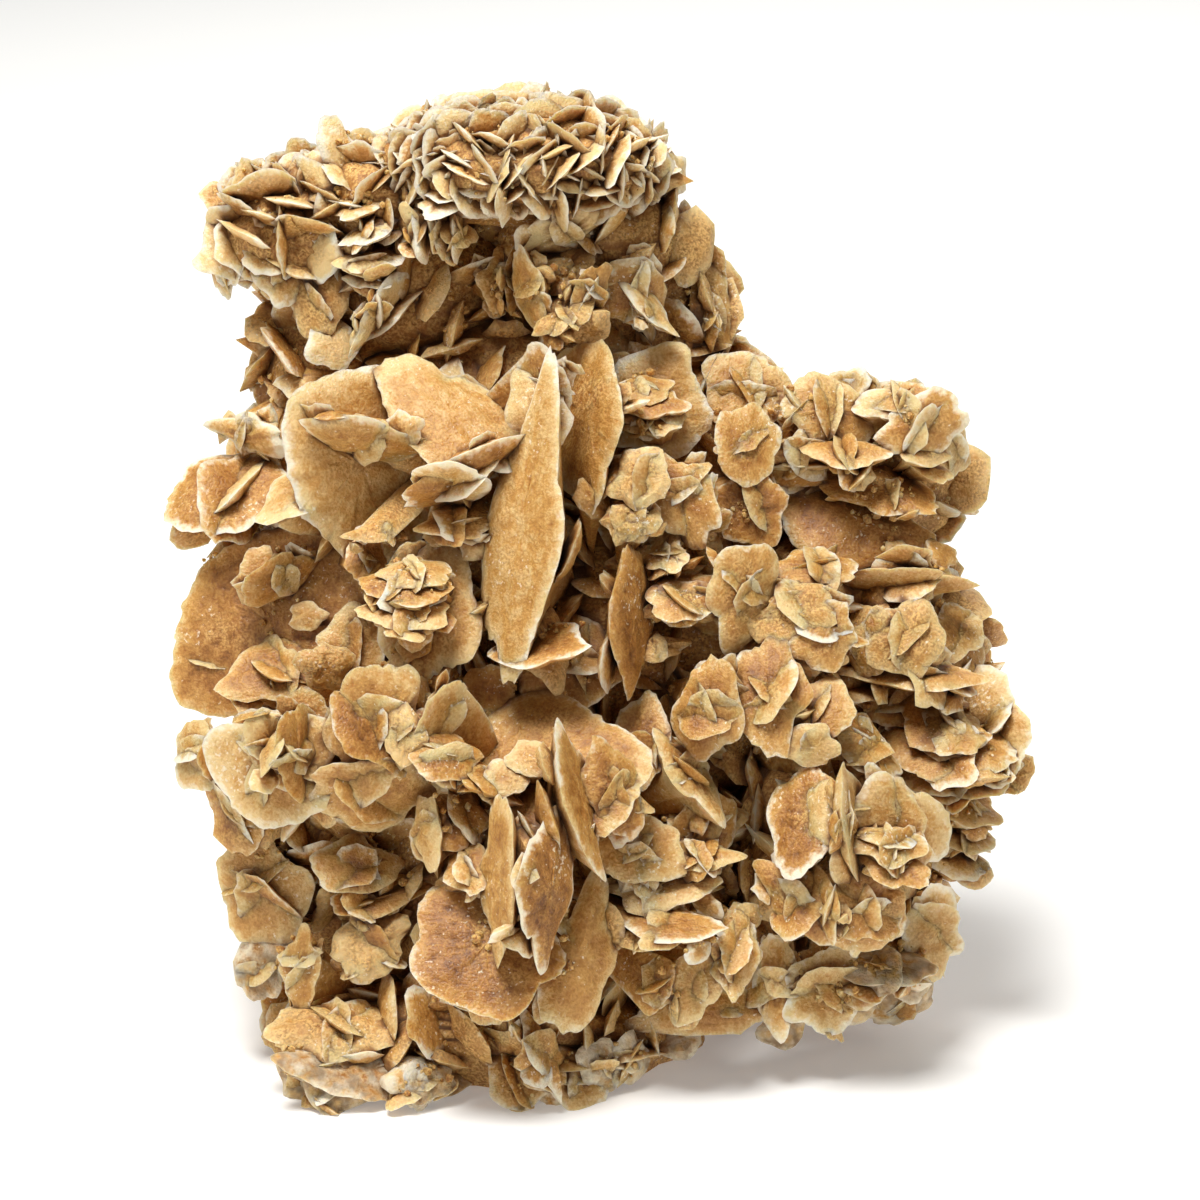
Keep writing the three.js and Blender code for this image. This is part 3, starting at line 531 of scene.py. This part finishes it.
def growLeaves(stone, middle, faces, along, halfLength, halfWidth, seed, finish):
    draw = random.Random(seed + 77)
    size = math.sqrt(halfLength * halfWidth)
    normal = faces.normalized()
    length = (along - normal * along.dot(normal)).normalized()
    width = normal.cross(length)
    behind = draw.randint(*leaves["behind"]) if halfLength >= leaves["behindFrom"] else 0
    for k in range(behind):
        angle = draw.uniform(0, 2 * math.pi)
        half = max(size * draw.uniform(*leaves["behindSize"]), leaves["least"])
        sideways = length * math.cos(angle) * halfLength + width * math.sin(angle) * halfWidth
        swing = Matrix.Rotation(draw.uniform(0, 2 * math.pi), 3, normal) @ length
        tip = draw.uniform(*leaves["behindTip"])
        facing = normal * math.cos(tip) + swing * math.sin(tip)
        out, deep = draw.uniform(*leaves["behindOut"]), draw.uniform(*leaves["behindDeep"])
        centre = middle + (sideways * out - normal * size * deep) * mm
        halfAcross = half * draw.uniform(*leaves["behindWidth"])
        growBlade(stone, centre, facing, normal.cross(swing), half, halfAcross, seed * 13 + k,
                  draw.choice(("honey", "frost", finish, "sand")), coarse=leaves["coarse"])
    plain = halfLength >= leaves["plain"]
    across = draw.randint(*leaves["plainAcross" if plain else "across"])
    firstTurn = draw.uniform(0, 2 * math.pi)
    for k in range(across):  # grown through the face, one half of each stands out of it
        angle = firstTurn + 2 * math.pi * (k + draw.uniform(-leaves["uneven"], leaves["uneven"])) / across
        ray = length * math.cos(angle) * halfLength + width * math.sin(angle) * halfWidth
        half = max(size * draw.uniform(*leaves["plainSize" if plain else "acrossSize"]), leaves["least"])
        tip = draw.uniform(*leaves["acrossTip"])
        swing = ray.normalized()
        facing = normal * math.cos(tip) + swing * math.sin(tip)
        centre = middle + ray * draw.uniform(*leaves["plainOut" if plain else "acrossOut"]) * mm
        halfAcross = half * draw.uniform(*leaves["acrossWidth"])
        growBlade(stone, centre, facing, normal.cross(swing), half, halfAcross, seed * 13 + 500 + k,
                  draw.choice(("honey", "honey", "frost", finish)), coarse=leaves["coarse"])


front = {
    "overlap": 1.05,  # crystals run on into their neighbours
    "tilt": (0.1, 0.42),  # unevenness of the way they face, radians
    "facing": 0.84,  # those that face the eye more than this are tilted
}


def growFront(rows):
    stone = newStone()
    for across, up, out, *faces, halfLength, halfWidth, lean, finish in rows:
        middle = (across, up, out)
        grown = nearness(middle[2]) * front["overlap"]
        draw = random.Random(seedAt(middle) + 31)
        along = turn(math.cos(math.radians(lean)), math.sin(math.radians(lean)), 0)
        normal = turn(*faces).normalized()
        if faces[2] > front["facing"]:
            aside = Matrix.Rotation(draw.uniform(0, 2 * math.pi), 3, normal) @ normal.orthogonal()
            normal = Matrix.Rotation(draw.uniform(*front["tilt"]), 3, aside) @ normal
        laid = (place(*middle), normal, along, halfLength * grown, halfWidth * grown, seedAt(middle), finish)
        growBlade(stone, *laid, wayIn(middle))
        if halfLength >= leaves["acrossFrom"]:
            growLeaves(stone, *laid)
    return stone


crown = {
    # mass, crystals, half lengths in mm, how far they lie back, seed
    "clusters": [
        (crownMass, 300, (4.4, 6.6), 0.45, 11),
        (crownMass, 170, (2.6, 3.8), 0.3, 17),
        (crownLobeMass, 66, (5.4, 8), 0.8, 23),
        (crownSaddleMass, 50, (4.8, 7), 0.6, 29),
    ],
    "width": (0.6, 0.85),  # of the length
    "underside": -0.7,  # no crystals below this share of the way down
    "sunk": (0.9, 0.98),
    "fine": 4,  # right of here the crystals of the crown are finer, mm
    "fineSize": 0.68,
    "slim": 0.62,
    "coarse": 1.4,
}


def ballSpots(count):  # even spots over a ball
    golden = math.pi * (3 - math.sqrt(5))
    for i in range(count):
        up = 1 - 2 * (i + 0.5) / count
        wide = math.sqrt(1 - up * up)
        yield wide * math.cos(golden * i), up, wide * math.sin(golden * i)


def growCrown():
    stone = newStone()
    for (middle, half), count, sizes, tip, seed in crown["clusters"]:
        draw = random.Random(seed)
        for index, spot in enumerate(ballSpots(count)):
            roll, size, width = draw.uniform(0, math.pi), draw.uniform(*sizes), draw.uniform(*crown["width"])
            sunk, lean = draw.uniform(*crown["sunk"]), draw.uniform(-tip, tip)
            if spot[1] < crown["underside"]:
                continue
            outward = turn(*[s / h for s, h in zip(spot, half)]).normalized()
            level = Vector((0, 0, 1)).cross(outward).normalized()
            faces = Matrix.Rotation(roll, 3, outward) @ level + outward * lean
            here = [m + s * h * sunk for m, s, h in zip(middle, spot, half)]
            size *= crown["fineSize"] if here[0] > crown["fine"] else 1
            growBlade(stone, place(*here), faces, outward.cross(faces), size, size * width,
                      seed * 1000 + index, "rime", coarse=crown["coarse"], slim=crown["slim"])
    return stone


back = {
    "tip": (0.15, 0.5),  # lean of a plate from the way out, radians
    "width": 0.8,  # of the length
    "petals": (4, 7),  # crystals that stand across each plate
    "petalSize": (0.36, 0.66),
    "petalTip": (0.9, 1.35),
    "petalWidth": 0.72,
    "uneven": 0.6,  # of the turns between them
    "shift": (-0.4, 0.4),  # from the middle of the plate, as a share of its size
    "raised": 0.16,
    "root": 6,  # how far behind its middle a plate is rooted, mm
    "coarse": 1.3,
}


def skinBehind(across, up):  # the backmost skin of the mass, and the way out of it
    skins = []
    for middle, half in massLobes:
        x, y = (across - middle[0]) / half[0], (up - middle[1]) / half[1]
        if x * x + y * y < 1:
            z = -math.sqrt(1 - x * x - y * y)
            skins.append((middle[2] + z * half[2], turn(x / half[0], y / half[1], z / half[2]).normalized()))
    return min(skins, key=lambda skin: skin[0])


def leanFrom(outward, level, angle, tip):  # the way a crystal faces, and the way of its length
    side = Matrix.Rotation(angle, 3, outward) @ level
    return outward * math.cos(tip) + side * math.sin(tip), outward.cross(side)


def growBack():
    stone = newStone()
    for across, up, size in backPlates:
        out, outward = skinBehind(across, up)
        middle = place(across, up, out)
        seed = seedAt((across, up, out))
        draw = random.Random(seed)
        level = Vector((0, 0, 1)).cross(outward).normalized()
        root = outward * -back["root"]
        firstTurn = draw.uniform(0, math.pi)
        faces, along = leanFrom(outward, level, firstTurn, draw.uniform(*back["tip"]))
        finish = draw.choice(("honey", "honey", "frost"))
        laid = (middle, faces, along, size, back["width"] * size, seed, finish)
        growBlade(stone, *laid, root)
        growLeaves(stone, *laid)
        petals = draw.randint(*back["petals"])
        for k in range(petals):
            angle = firstTurn + math.pi * (k + draw.uniform(0, back["uneven"])) / petals
            faces, along = leanFrom(outward, level, angle, draw.uniform(*back["petalTip"]))
            half = size * draw.uniform(*back["petalSize"])
            shift = level * draw.uniform(*back["shift"])
            shift += level.cross(outward) * draw.uniform(*back["shift"])
            centre = middle + (outward * back["raised"] + shift) * size * mm
            growBlade(stone, centre, faces, along, half, back["petalWidth"] * half, seed + k + 1,
                      draw.choice(("honey", "frost", "sand")), root, coarse=back["coarse"])
    return stone


bladelets = {
    "spacing": 8.4,  # mm between the small crystals on the mass
    "size": (4.4, 8.4),
    "width": (0.6, 0.9),
    "lean": (-0.9, 0.9),  # how far they tip from standing on edge
    "clearance": 0.92,  # those deeper in another lump of the mass than this are left out
    "lowest": 0.006,  # and those lower than this over the foot, m
    "coarse": 1.9,
    "seed": 5,
}


def insideOther(spot, own):
    for middle, half in massLobes:
        depth = sum(((s - m) / h) ** 2 for s, m, h in zip(spot, middle, half))
        if (middle, half) != own and depth < bladelets["clearance"]:
            return True
    return False


def growBladelets():
    stone = newStone()
    draw = random.Random(bladelets["seed"])
    for own in bodyMasses:  # the crown has its own crystals
        middle, half = own
        meanHalf = (half[0] * half[1] + half[0] * half[2] + half[1] * half[2]) / 3
        for index, spot in enumerate(ballSpots(round(4 * math.pi * meanHalf / bladelets["spacing"] ** 2))):
            here = [m + s * h for m, s, h in zip(middle, spot, half)]
            centre = place(*here)
            if insideOther(here, own) or centre.z < bladelets["lowest"]:
                continue
            outward = turn(*[s / h for s, h in zip(spot, half)]).normalized()
            facing = Matrix.Rotation(draw.uniform(0, math.pi), 3, outward) @ outward.orthogonal().normalized()
            facing = (facing + outward * draw.uniform(*bladelets["lean"])).normalized()
            size = draw.uniform(*bladelets["size"])
            width = size * draw.uniform(*bladelets["width"])
            growBlade(stone, centre, facing, outward.cross(facing), size, width, seedAt(here) + index,
                      draw.choice(("honey", "frost", "sand")), coarse=bladelets["coarse"])
    return stone


mass = {
    "around": 44,
    "rings": 28,
    "lumps": 1.6,  # height of the lumps on the sandy mass, mm
    "lumpLength": 6,
    "grit": 0.6,
    "gritLength": 1.5,
    "sunk": 0.8,
    "tone": 0.3,
}


def growMass():
    stone = newStone()
    ball, polys = ballShape(mass["around"], mass["rings"])
    for middle, half in massLobes:
        spots = np.array([place(*spot) for spot in np.array(middle) + ball * half])
        outward = np.array([turn(*way).normalized() for way in ball / half])
        lump = mass["lumps"] * noiseAt(spots / (mass["lumpLength"] * mm), 3)
        lump += mass["grit"] * noiseAt(spots / (mass["gritLength"] * mm), 4) - mass["sunk"]
        raised = spots + outward * (lump * mm)[:, None]
        addShape(stone, raised, polys, spots / mm, body=mass["tone"], sand=1.0)
    return stone


creaseAngle = math.radians(38)  # rims and ledges stay crisp


def makePiece(stone, name, material):
    spots = np.concatenate(stone["spots"])
    spots[:, 2] = np.maximum(spots[:, 2], 0)  # the stone rests on a broken flat foot
    mesh = bpy.data.meshes.new(name)
    mesh.from_pydata(spots.tolist(), [], stone["polys"])
    mesh.polygons.foreach_set("use_smooth", [True] * len(mesh.polygons))
    mesh.set_sharp_from_angle(angle=creaseAngle)
    for attribute in attributes:
        layer = mesh.attributes.new(attribute, "FLOAT", "POINT")
        layer.data.foreach_set("value", np.concatenate(stone[attribute]).astype(np.float32))
    layer = mesh.attributes.new("lay", "FLOAT_VECTOR", "POINT")
    layer.data.foreach_set("vector", np.concatenate(stone["lay"]).astype(np.float32).ravel())
    mesh.materials.append(material)
    piece = bpy.data.objects.new(name, mesh)
    bpy.context.scene.collection.objects.link(piece)
    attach(piece, "root")
    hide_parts("sand_rose")
    return piece


def readArray(data, field, width):
    values = np.empty(len(data) * width, dtype=np.float32)
    data.foreach_get(field, values)
    return values.reshape(-1, width)


hollows = {
    "range": 0.009,  # how far a spot looks for other crystals, m
    "tilt": 0.9,
    "rays": 4,
    "lift": 0.0003,  # looks start this far off the face, m
    "inside": 0.03,  # a back face this near means a spot inside another crystal, m
    "buried": 0.8,
}


def measureHollows(pieces):  # how deep each spot lies between the crystals, 0 to 1
    allSpots, allPolys = [], []
    for piece in pieces:
        start = len(allSpots)
        allSpots += readArray(piece.data.vertices, "co", 3).tolist()
        allPolys += [[start + corner for corner in poly.vertices] for poly in piece.data.polygons]
    tree = BVHTree.FromPolygons(allSpots, allPolys)
    reach = hollows["range"]
    angles = [2 * math.pi * k / hollows["rays"] for k in range(hollows["rays"])]
    for piece in pieces:
        depths = []
        for vert in piece.data.vertices:
            normal = vert.normal
            start = vert.co + normal * hollows["lift"]
            hit, hitNormal, _, far = tree.ray_cast(start, normal, hollows["inside"])
            if hit and hitNormal.dot(normal) > 0:
                depths.append(hollows["buried"])
                continue
            depth = 1 - far / reach if hit and far < reach else 0
            side = normal.orthogonal().normalized() * hollows["tilt"]
            other = normal.cross(side)
            for angle in angles:
                way = normal + side * math.cos(angle) + other * math.sin(angle)
                far = tree.ray_cast(start, way, reach)[3]
                depth += 1 - far / reach if far else 0
            depths.append(depth / (hollows["rays"] + 1))
        piece.data.attributes["hollow"].data.foreach_set("value", np.array(depths, dtype=np.float32))


grains = {
    "crusts": 330,  # places where sand is caked
    "crustSize": 4.5,  # mm
    "perCrust": 24,
    "size": (0.18, 1.1),  # radius in mm, from medium sand to crumbs
    "crumbs": 4,  # the higher, the fewer large ones
    "hollow": (0.12, 0.55),
    "lowest": -0.3,  # no sand on faces that look down more than this
    "chances": (0.2, 0.5), # on faces without sand, and on upright ones
    "raised": 0.3,  # of its radius
    "strewn": 0.5,  # mm
    "uneven": (0.7, 1.2),
    "seed": 9,
}


def scatterGrains(pieces):
    dice = np.random.default_rng(grains["seed"])
    seats, normals, chances = [], [], []
    for piece in pieces:
        data = piece.data
        spots, facing = readArray(data.vertices, "co", 3), readArray(data.vertices, "normal", 3)
        hollow = readArray(data.attributes["hollow"].data, "value", 1)[:, 0]
        sand = readArray(data.attributes["sand"].data, "value", 1)[:, 0]
        good = (hollow > grains["hollow"][0]) & (hollow < grains["hollow"][1])
        good &= facing[:, 2] > grains["lowest"]
        seats.append(spots[good])
        normals.append(facing[good])
        bare, upright = grains["chances"]
        chances.append(((bare + sand) * (upright + facing[:, 2]))[good])
    seats, normals, chances = map(np.concatenate, (seats, normals, chances))
    bm = bmesh.new()
    bmesh.ops.create_icosphere(bm, subdivisions=1, radius=1)
    ball, polys = readShape(bm)
    stone = newStone()
    picks = []
    for centre in dice.choice(len(seats), grains["crusts"], p=chances / chances.sum()):
        near = np.flatnonzero(np.abs(seats - seats[centre]).max(axis=1) < grains["crustSize"] * mm)
        picks += dice.choice(near, grains["perCrust"]).tolist()
    smallest, largest = grains["size"]
    strewn = grains["strewn"]
    for pick in picks:
        size = (smallest + (largest - smallest) * dice.random() ** grains["crumbs"]) * mm
        spot = seats[pick] + normals[pick] * size * grains["raised"] + dice.uniform(-strewn, strewn, 3) * mm
        grain = ball * dice.uniform(*grains["uneven"], (len(ball), 1)) * size
        addShape(stone, spot + grain, polys, grain / mm, body=dice.random(), sand=1.0)
    return stone


def toLinear(hexColour):
    parts = [int(hexColour[i:i + 2], 16) / 255 for i in (1, 3, 5)]
    return tuple(p / 12.92 if p <= 0.04045 else ((p + 0.055) / 1.055) ** 2.4 for p in parts) + (1,)


def addNode(tree, inputs, kind, out=0, **settings):
    node = tree.nodes.new(kind)
    for name, value in settings.items():
        setattr(node, name, value)
    for key, value in inputs.items():
        if isinstance(value, bpy.types.NodeSocket):
            tree.links.new(value, node.inputs[key])
        else:
            node.inputs[key].default_value = value
    return None if out is None else node.outputs[out]


gypsum = {
    # the clear crystal from its sandy middle to its thin rim
    "body": [(0.1, "#70400f"), (0.4, "#a9712e"), (0.68, "#ca984f"), (1, "#e6c88e")],
    "sand": "#e0b36c",
    "sandDark": "#8f602d",
    "paintedAmberShade": "#8d5720",  # painted shade, amber, where the crystals grow together
    "paintedDarkShade": "#2c1505",  # painted shade, near black, deep between them
    "frost": "#f4e6ca",
    "chalk": "#e6d6ba",
    "chalkDirt": "#9c8363",
    "patch": 14.0,  # pattern sizes in mm
    "cloud": 2.2,
    "grain": 0.55,
    "streak": 1.2,  # growth lines along the crystal
    "fleck": 0.8,
    "frostBreak": 1.5,
    "dirt": 5.0,
    "ior": 1.52,
    "glow": 0.5,  # share of light that goes through the crystal
    "glowDepth": 2.8,  # in mm
    "glowColour": (1, 0.72, 0.45),
    "streaks": (0.3, 1.6, 1),  # growth lines are drawn out along the crystal
    "tone": (0.85, -0.68), # share of the body's own tone, and its shift
    "shares": (0.55, 0.8, 0.36, 0.2),  # of patch, cloud, grain and streak in the tone
    "hollowSand": 0.5,
    "frostBroken": 1.6,
    "fleckPatch": 0.5,
    "rough": (0.35, 0.44), # what frost and sand add, and the clear crystal
    "relief": (1.4, 0.7),  # cloud and streak beside the grain in the bump
    "bump": 0.5,
    "bumpHeight": 0.5,  # mm
}
# From where to where each pattern or hollow sets in, and how far it goes at most.
rangeRows = {
    "sandTone": (0.36, 0.6, 1),
    "sandCloud": (0.35, 0.6, 1),
    # painted shade: amber, then near-black brown, the deeper a spot lies between the crystals
    "paintedAmberShade": (0.14, 0.62, 0.8),
    "paintedDarkShade": (0.48, 0.95, 1),
    "frost": (1.15, 1.7, 1),
    "flecks": (0.92, 1, 0.8),
    "open": (0.7, 0.25, 1),
    "dirt": (0.42, 0.62, 1),
}
ranges = {name: dict(zip(("From Min", "From Max", "To Max"), row)) for name, row in rangeRows.items()}
noise = {"kind": "ShaderNodeTexNoise"}
spread = {"kind": "ShaderNodeMapRange"}
mix = {"kind": "ShaderNodeMix", "out": 2, "data_type": "RGBA"}
times = {"kind": "ShaderNodeMath", "operation": "MULTIPLY"}
timesAdd = {"kind": "ShaderNodeMath", "operation": "MULTIPLY_ADD"}
larger = {"kind": "ShaderNodeMath", "operation": "MAXIMUM"}


# Selenite gypsum grown in sand: waxy, honey-coloured and cloudy, so that thin blades glow. Rims are
# frosted white by wear, and yellow quartz sand is stuck in the seams.
def makeGypsum():
    material = bpy.data.materials.new("sandySelenite")
    material.use_nodes = True
    tree = material.node_tree
    tree.nodes.clear()
    where = addNode(tree, {}, "ShaderNodeTexCoord", out="Object")
    lay = addNode(tree, {}, "ShaderNodeAttribute", out="Vector", attribute_name="lay")
    body, frost, sand, chalk, hollow = [
        addNode(tree, {}, "ShaderNodeAttribute", out="Fac", attribute_name=name) for name in attributes]
    patch, cloud, grain, fleck, frostBreak, dirt = [
        addNode(tree, {"Vector": where, "Scale": 1 / (gypsum[name] * mm), "Detail": 4}, **noise)
        for name in ("patch", "cloud", "grain", "fleck", "frostBreak", "dirt")]
    along = addNode(tree, {0: lay, 1: gypsum["streaks"]}, "ShaderNodeVectorMath", operation="MULTIPLY")
    streak = addNode(tree, {"Vector": along, "Scale": 1 / gypsum["streak"], "Detail": 4}, **noise)

    # each pattern adds its share to the body's own tone
    ownShare, shift = gypsum["tone"]
    tone = addNode(tree, {0: body, 1: ownShare, 2: shift}, **timesAdd)
    for pattern, share in zip((patch, cloud, grain, streak), gypsum["shares"]):
        tone = addNode(tree, {0: pattern, 1: share, 2: tone}, **timesAdd)
    clear = addNode(tree, {"Fac": tone}, "ShaderNodeValToRGB")
    stops = clear.node.color_ramp.elements
    while len(stops) < len(gypsum["body"]):
        stops.new(1)
    for stop, (position, colour) in zip(stops, gypsum["body"]):
        stop.position, stop.color = position, toLinear(colour)

    # sand on the faces and in the seams, then painted shade deep between the crystals
    sandTone = addNode(tree, {"Value": grain, **ranges["sandTone"]}, **spread)
    sandEnds = {6: toLinear(gypsum["sandDark"]), 7: toLinear(gypsum["sand"])}
    sandColour = addNode(tree, {0: sandTone, **sandEnds}, **mix)
    sandCloud = addNode(tree, {"Value": cloud, **ranges["sandCloud"]}, **spread)
    sandShare = addNode(tree, {0: sand, 1: sandCloud}, **times)
    sandShare = addNode(tree, {0: hollow, 1: gypsum["hollowSand"], 2: sandShare}, use_clamp=True,
                        **timesAdd)
    colour = addNode(tree, {0: sandShare, 6: clear, 7: sandColour}, **mix)
    # painted shade: the deeper a spot lies between the crystals, the darker its colour
    for paintedShade in ("paintedAmberShade", "paintedDarkShade"):
        depth = addNode(tree, {"Value": hollow, **ranges[paintedShade]}, **spread)
        colour = addNode(tree, {0: depth, 6: colour, 7: toLinear(gypsum[paintedShade])}, **mix)

    # frost on the rims and in flecks, where the crystal is open to wear
    broken = addNode(tree, {0: frostBreak, 1: gypsum["frostBroken"], 2: frost}, **timesAdd)
    frostShare = addNode(tree, {"Value": broken, **ranges["frost"]}, **spread)
    fleckPatch = addNode(tree, {0: patch, 1: gypsum["fleckPatch"], 2: fleck}, **timesAdd)
    flecks = addNode(tree, {"Value": fleckPatch, **ranges["flecks"]}, **spread)
    frostShare = addNode(tree, {0: frostShare, 1: flecks}, **larger)
    frostOpen = addNode(tree, {"Value": hollow, **ranges["open"]}, **spread)
    frostShare = addNode(tree, {0: frostShare, 1: frostOpen}, **times)
    colour = addNode(tree, {0: frostShare, 6: colour, 7: toLinear(gypsum["frost"])}, **mix)

    # the chalky foot
    dirtShare = addNode(tree, {"Value": dirt, **ranges["dirt"]}, **spread)
    chalkEnds = {6: toLinear(gypsum["chalkDirt"]), 7: toLinear(gypsum["chalk"])}
    chalkColour = addNode(tree, {0: dirtShare, **chalkEnds}, **mix)
    chalkShare = addNode(tree, {0: chalk, 1: sandCloud}, **times)
    colour = addNode(tree, {0: chalkShare, 6: colour, 7: chalkColour}, **mix)

    dull = addNode(tree, {0: frostShare, 1: sandShare}, **larger)
    dulling, smooth = gypsum["rough"]
    roughness = addNode(tree, {0: dull, 1: dulling, 2: smooth}, **timesAdd)
    cloudRelief, streakRelief = gypsum["relief"]
    height = addNode(tree, {0: cloud, 1: cloudRelief, 2: grain}, **timesAdd)
    height = addNode(tree, {0: streak, 1: streakRelief, 2: height}, **timesAdd)
    bumps = {"Height": height, "Strength": gypsum["bump"], "Distance": gypsum["bumpHeight"] * mm}
    bump = addNode(tree, bumps, "ShaderNodeBump")
    shader = addNode(tree, {
        "Base Color": colour,
        "Roughness": roughness,
        "IOR": gypsum["ior"],
        "Subsurface Weight": gypsum["glow"],
        "Subsurface Radius": gypsum["glowColour"],
        "Subsurface Scale": gypsum["glowDepth"] * mm,
        "Normal": bump,
    }, "ShaderNodeBsdfPrincipled")
    addNode(tree, {"Surface": shader}, "ShaderNodeOutputMaterial", out=None)
    return material


paper = {
    "half": 6,  # half its side in m
    "colour": "#efeeea",
    "roughness": 0.9,
    "glow": 0.2,  # evens out the sweep
}


def makeFloor():
    material = bpy.data.materials.new("palePaper")  # matt white paper sweep
    material.use_nodes = True
    inputs = material.node_tree.nodes["Principled BSDF"].inputs
    inputs["Base Color"].default_value = toLinear(paper["colour"])
    inputs["Roughness"].default_value = paper["roughness"]
    inputs["Emission Color"].default_value = toLinear("#ffffff")
    inputs["Emission Strength"].default_value = paper["glow"]
    bm = bmesh.new()
    bmesh.ops.create_grid(bm, x_segments=1, y_segments=1, size=paper["half"])
    mesh = bpy.data.meshes.new("paperFloor")
    bm.to_mesh(mesh)
    bm.free()
    mesh.materials.append(material)
    floor = bpy.data.objects.new("paperFloor", mesh)
    bpy.context.scene.collection.objects.link(floor)


lights = [
    # name, place in m, size in m, watts
    ("skyLight", (-0.2, -0.28, 1.25), 0.5, 21),
    ("leftLight", (-1.1, -0.9, 0.6), 0.7, 1.8),
    ("rightLight", (1.2, -0.7, 0.5), 0.7, 1.1),
    ("backLight", (0.2, 1.1, 0.9), 0.7, 7),
]
sky = {"colour": "#f4f4f2", "strength": 0.12}


def lightScene():
    for name, spot, size, watts in lights:
        lamp = bpy.data.lights.new(name, "AREA")
        lamp.energy, lamp.size = watts, size
        holder = bpy.data.objects.new(name, lamp)
        holder.location = spot
        holder.rotation_euler = (view["middle"] - Vector(spot)).to_track_quat("-Z", "Y").to_euler()
        bpy.context.scene.collection.objects.link(holder)
    world = bpy.data.worlds.new("studio")
    world.use_nodes = True
    inputs = world.node_tree.nodes["Background"].inputs
    inputs["Color"].default_value = toLinear(sky["colour"])
    inputs["Strength"].default_value = sky["strength"]
    bpy.context.scene.world = world
    bpy.context.scene.view_settings.view_transform = "Standard"


def setCamera():
    camera = bpy.data.objects.new("camera", bpy.data.cameras.new("camera"))
    camera.data.lens = view["lens"]
    camera.data.sensor_width = view["sensor"]
    camera.location = view["middle"] + turn(0, 0, view["distance"])
    camera.rotation_euler = (view["middle"] - camera.location).to_track_quat("-Z", "Y").to_euler()
    bpy.context.scene.collection.objects.link(camera)
    bpy.context.scene.camera = camera


selenite = makeGypsum()
stones = {
    "crownBlades": growFront(crownBlades + shoulderBlades),
    "heartBlades": growFront(heartBlades),
    "rightBlades": growFront(rightBlades),
    "lowBlades": growFront(lowLeftBlades + lowMiddleBlades),
    "crownCluster": growCrown(),
    "backBlades": growBack(),
    "smallBlades": growBladelets(),
    "sandyMass": growMass(),
}
pieces = [makePiece(stone, name, selenite) for name, stone in stones.items()]
print("crystals grown:", {piece.name: len(piece.data.polygons) for piece in pieces})
measureHollows(pieces)
print("hollows between the crystals measured")
pieces.append(makePiece(scatterGrains(pieces), "sandGrains", selenite))
print("sand grains laid:", grains["crusts"] * grains["perCrust"])
makeFloor()
lightScene()
setCamera()
print("floor, lights and camera set")
